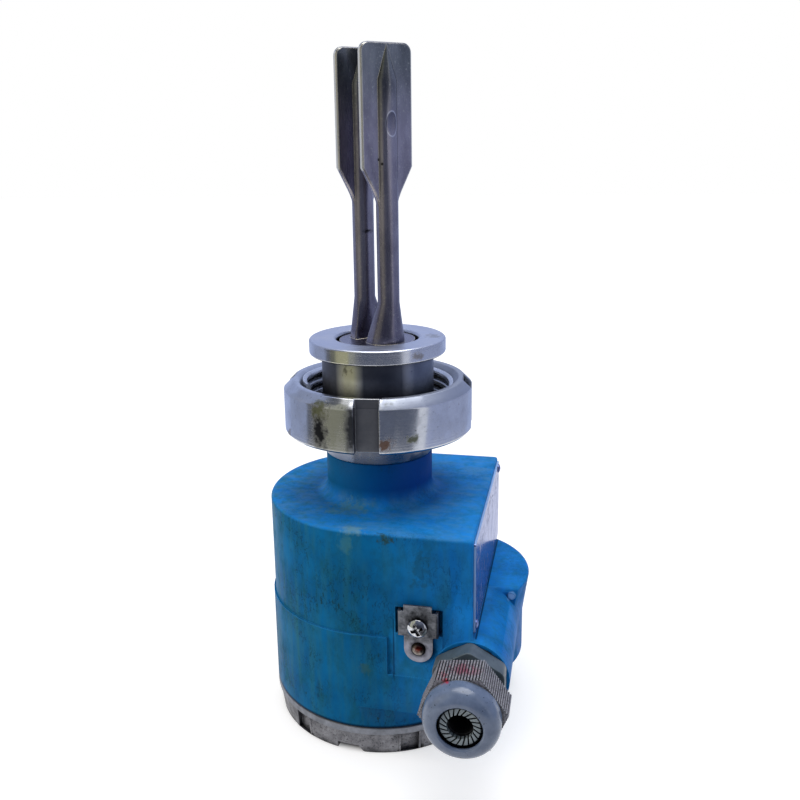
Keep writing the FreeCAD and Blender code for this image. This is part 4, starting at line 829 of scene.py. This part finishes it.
# Red paint smears on the dome nut: centre and reach in mm, tint, share and raggedness.
RED_SMEARS = (
    ((44.0, -64.5, 56.3), (5.0, 4.5, 2.0), "#7a1f38", 0.70, 1.0),
    ((48.5, -66.0, 56.8), (3.5, 3.0, 2.0), "#8a3a50", 0.45, 1.0),
    ((39.3, -71.2, 54.6), (1.9, 1.6, 1.5), "#b3122c", 0.90, 0.7),
    ((38.0, -68.5, 55.4), (2.0, 3.0, 1.5), "#8a1730", 0.55, 1.0),
)


def moulded_polyamide(name, colour, shade, gloss, painted_shade, grip=None, smears=()):
    """Glass-filled polyamide from the mould: smooth and half glossy, browner and rougher on a grip."""
    material, tree, place = new_finish(name)
    clouds = speckle(tree, place, 5 * MM, 0.38, 0.70, detail=5.0)
    tint = layer(tree, linear(colour), linear(shade), clouds)
    roughness = add(tree, "MapRange", {"Value": clouds, "To Min": gloss, "To Max": gloss + 0.12})
    if grip:
        front = add(tree, "SeparateXYZ", {0: place}, out="Y")
        handled = add(tree, "MapRange", {
            "Value": front, "From Min": GRIP_FRONT - 0.1 * MM, "From Max": GRIP_FRONT,
        })
        grain = speckle(tree, place, 0.8 * MM, 0.40, 0.65)
        gripped = layer(tree, linear(grip), linear("#56535b"), grain)
        tint = layer(tree, tint, gripped, handled)
        roughness = add(tree, "Math", {0: handled, 1: 0.3, 2: roughness}, operation="MULTIPLY_ADD")
    # Paler edges: rubbing and a painted highlight.
    rubbed_and_lit = layer(tree, tint, linear("#aab4b6"), edge_wear_and_highlight(tree, 0.6 * MM), 0.4)
    specks = speckle(tree, place, 1.1 * MM, 0.68, 0.72, detail=2.0)
    specked = layer(tree, rubbed_and_lit, linear("#15171a"), specks, 0.85)
    smeared = marked(tree, place, specked, smears, grain=1.5 * MM)
    # Painted shade in the creases.
    corners = add(tree, "AmbientOcclusion", {"Distance": 1.5 * MM}, out="AO", samples=8)
    creases = add(tree, "MapRange", {"Value": corners, "From Min": 0.90, "From Max": 0.50})
    surface = layer(tree, smeared, linear("#0e0f13"), creases, painted_shade)
    shader = add(tree, "BsdfPrincipled", {"Base Color": surface, "Roughness": roughness, "IOR": 1.53})
    add(tree, "OutputMaterial", {"Surface": shader})
    return material


gland_grey = moulded_polyamide(
    "moulded_grey_polyamide", "#6a7891", "#596780", 0.16, 0.95, grip="#96939a", smears=RED_SMEARS,
)
flange_grey = moulded_polyamide("moulded_green_grey_polyamide", "#525f66", "#434f57", 0.34, 0.85)
claw_pale = moulded_polyamide("moulded_pale_polyamide", "#838e92", "#6d787d", 0.36, 0.95)
flange = soften("gland_body", 0.4 * MM, "housing", flange_grey)
turned_off = bmesh.new()
turned_off.from_mesh(flange.data)
corner_edges = [
    e for e in turned_off.edges
    if math.hypot(e.verts[0].co.x - GLAND_AXIS[0], e.verts[0].co.z - GLAND_AXIS[1]) > CORNER_RADIUS
    and abs(e.verts[0].co.y - e.verts[1].co.y) > CORNER_LENGTH
]
bmesh.ops.bevel(
    turned_off, geom=corner_edges, offset=CORNER_WIDTH, offset_type="OFFSET", segments=3, profile=0.5,
    affect="EDGES", material=-1,
)
turned_off.to_mesh(flange.data)
turned_off.free()
flange.data.shade_smooth()
flange.data.set_sharp_from_angle(angle=math.radians(30))
dress("gland_o_ring", rubber)
soften("gland_dome_nut", 0.06 * MM, "gland_nut", gland_grey, sharp=40)
soften("gland_claw", 0.15 * MM, "gland_grip", claw_pale)
dress("gland_bush", rubber)

# Floor and light: a pale table that runs into a white room, lit by large soft boxes.
# Dark boards that only reflections see give the metal its dark bands.
FLOOR_HALF = 4.0
# The table glows less near the object, and not at all where the lid stands, which paints a shadow under the
# lid.
NEAR_ZONE = (0.3, 1.1)
LID_ZONE = (42 * MM, 45.5 * MM)
FLAG_RADIUS = 0.36
FLAG_LOW = 0.001
FLAG_HIGH = 0.75
FLAG_STEPS = 12
# Boards round the object: name, azimuths of both ends in degrees, and colour.
FLAGS = (
    ("left_flag", -205, -168, "#a6b2d2"),
    ("dim_strip", -168, -148, "#5c6068"),
    ("warm_strip", -148, -112, "#afb0a0"),
    ("front_flag", -112, -38, "#6a7184"),
    ("bright_strip", -38, -24, "#f0f4ff"),
    ("right_flag", -24, 50, "#aeb9dc"),
    ("back_flag", 50, 155, "#b4c2ea"),
)
# Soft boxes look here.
MIDDLE = (0, 0, 0.12)


def seen_share(tree):
    """1 for what the camera sees, straight, in a mirror or through glass, and 0 for light that spreads."""
    seen = add(tree, "LightPath", out="Is Camera Ray")
    for ray in ("Is Glossy Ray", "Is Transmission Ray"):
        seen = add(tree, "Math", {0: seen, 1: add(tree, "LightPath", out=ray)}, operation="MAXIMUM")
    return seen


def white_table():
    """Matt white board that keeps the object's soft shadow, with a shadow painted under the lid."""
    material, tree, place = new_finish("matt_white_table")
    away = add(tree, "VectorMath", {0: place}, out="Value", operation="LENGTH")
    level = add(tree, "MapRange", {
        "Value": away, "From Min": NEAR_ZONE[0], "From Max": NEAR_ZONE[1], "To Min": 0.62, "To Max": 1.0,
    })
    clear = add(tree, "MapRange", {"Value": away, "From Min": LID_ZONE[0], "From Max": LID_ZONE[1]})
    lit = add(tree, "Math", {0: level, 1: clear}, operation="MULTIPLY")
    glow = add(tree, "Math", {0: seen_share(tree), 1: lit}, operation="MULTIPLY")
    matt = add(tree, "BsdfDiffuse", {"Color": linear("#c8c8c8")})
    own = add(tree, "Emission", {"Color": linear("#ffffff"), "Strength": glow})
    add(tree, "OutputMaterial", {"Surface": add(tree, "AddShader", {0: matt, 1: own})})
    return material


def stage_board(name, bm, material):
    """Make a mesh a board of the studio that isn't part of the object."""
    mesh = bpy.data.meshes.new(name)
    bm.to_mesh(mesh)
    bm.free()
    mesh.materials.append(material)
    board = bpy.data.objects.new(name, mesh)
    bpy.context.scene.collection.objects.link(board)
    return board


def studio_flag(name, start, end, colour):
    """Curved board round the object, from one azimuth to another, which only reflections see."""
    bm = bmesh.new()
    foot = bm.verts.new((FLAG_RADIUS, 0, FLAG_LOW))
    head = bm.verts.new((FLAG_RADIUS, 0, FLAG_HIGH))
    edge = bm.edges.new((foot, head))
    turn = Matrix.Rotation(math.radians(start), 3, "Z")
    bmesh.ops.rotate(bm, verts=bm.verts, cent=(0, 0, 0), matrix=turn)
    bmesh.ops.spin(
        bm, geom=[foot, head, edge], cent=(0, 0, 0), axis=(0, 0, 1),
        angle=math.radians(end - start), steps=FLAG_STEPS,
    )
    material, tree, _ = new_finish(name + "_cloth")
    add(tree, "OutputMaterial", {"Surface": add(tree, "Emission", {"Color": linear(colour)})})
    flag = stage_board(name, bm, material)
    flag.visible_camera = False
    flag.visible_diffuse = False
    flag.visible_shadow = False


def soft_box(name, place, size, watts, tint):
    """Square soft light that looks at the middle of the object."""
    lamp = bpy.data.lights.new(name, "AREA")
    lamp.size = size
    lamp.energy = watts
    lamp.color = linear(tint)[:3]
    light = bpy.data.objects.new(name, lamp)
    light.location = place
    light.rotation_euler = (Vector(MIDDLE) - Vector(place)).to_track_quat("-Z", "Y").to_euler()
    bpy.context.scene.collection.objects.link(light)


table = bmesh.new()
bmesh.ops.create_grid(table, x_segments=1, y_segments=1, size=FLOOR_HALF)
stage_board("floor", table, white_table())
for flag_name, flag_start, flag_end, flag_colour in FLAGS:
    studio_flag(flag_name, flag_start, flag_end, flag_colour)
world = bpy.data.worlds.new("white_room")
bpy.context.scene.world = world
world.use_nodes = True
room = world.node_tree
room.nodes.clear()
seen = seen_share(room)
room_level = add(room, "MapRange", {"Value": seen, "To Min": 0.22, "To Max": 1.0})
room_tone = layer(room, linear("#dfeaff"), linear("#ffffff"), seen)
sky = add(room, "Background", {"Color": room_tone, "Strength": room_level})
add(room, "OutputWorld", {"Surface": sky})
soft_box("left_window", (-0.95, -0.45, 0.55), 0.8, 7.5, "#fff6ea")
soft_box("right_window", (0.95, -0.10, 0.50), 1.8, 4.5, "#d8e5ff")
soft_box("top_window", (0.05, 0.10, 1.15), 0.9, 9.5, "#ffffff")

# Camera: at the photograph's place and angle, fitted to the housing, nut, disc and fork.
# Its lens is shifted, because the photograph's axis isn't in its middle.
CAMERA_PLACE = (0.0798, -0.3376, 0.2372)
CAMERA_AZIMUTH = 13.30
CAMERA_ELEVATION = 14.11
CAMERA_ROLL = -1.10
FOCAL_PIXELS = 865.7
IMAGE_PIXELS = 800
AXIS_PIXEL = (377.8, 366.5)
camera_data = bpy.data.cameras.new("camera")
camera_data.sensor_width = 36.0
camera_data.lens = camera_data.sensor_width * FOCAL_PIXELS / IMAGE_PIXELS
camera_data.shift_x = 0.5 - AXIS_PIXEL[0] / IMAGE_PIXELS
camera_data.shift_y = AXIS_PIXEL[1] / IMAGE_PIXELS - 0.5
camera_data.clip_start = 0.01
camera = bpy.data.objects.new("camera", camera_data)
turn = Matrix.Rotation(math.radians(CAMERA_AZIMUTH), 4, "Z")
tilt = Matrix.Rotation(math.radians(90 - CAMERA_ELEVATION), 4, "X")
roll = Matrix.Rotation(math.radians(CAMERA_ROLL), 4, "Z")
camera.matrix_world = Matrix.Translation(CAMERA_PLACE) @ turn @ tilt @ roll
bpy.context.scene.collection.objects.link(camera)
bpy.context.scene.camera = camera
bpy.context.scene.view_settings.view_transform = "Standard"
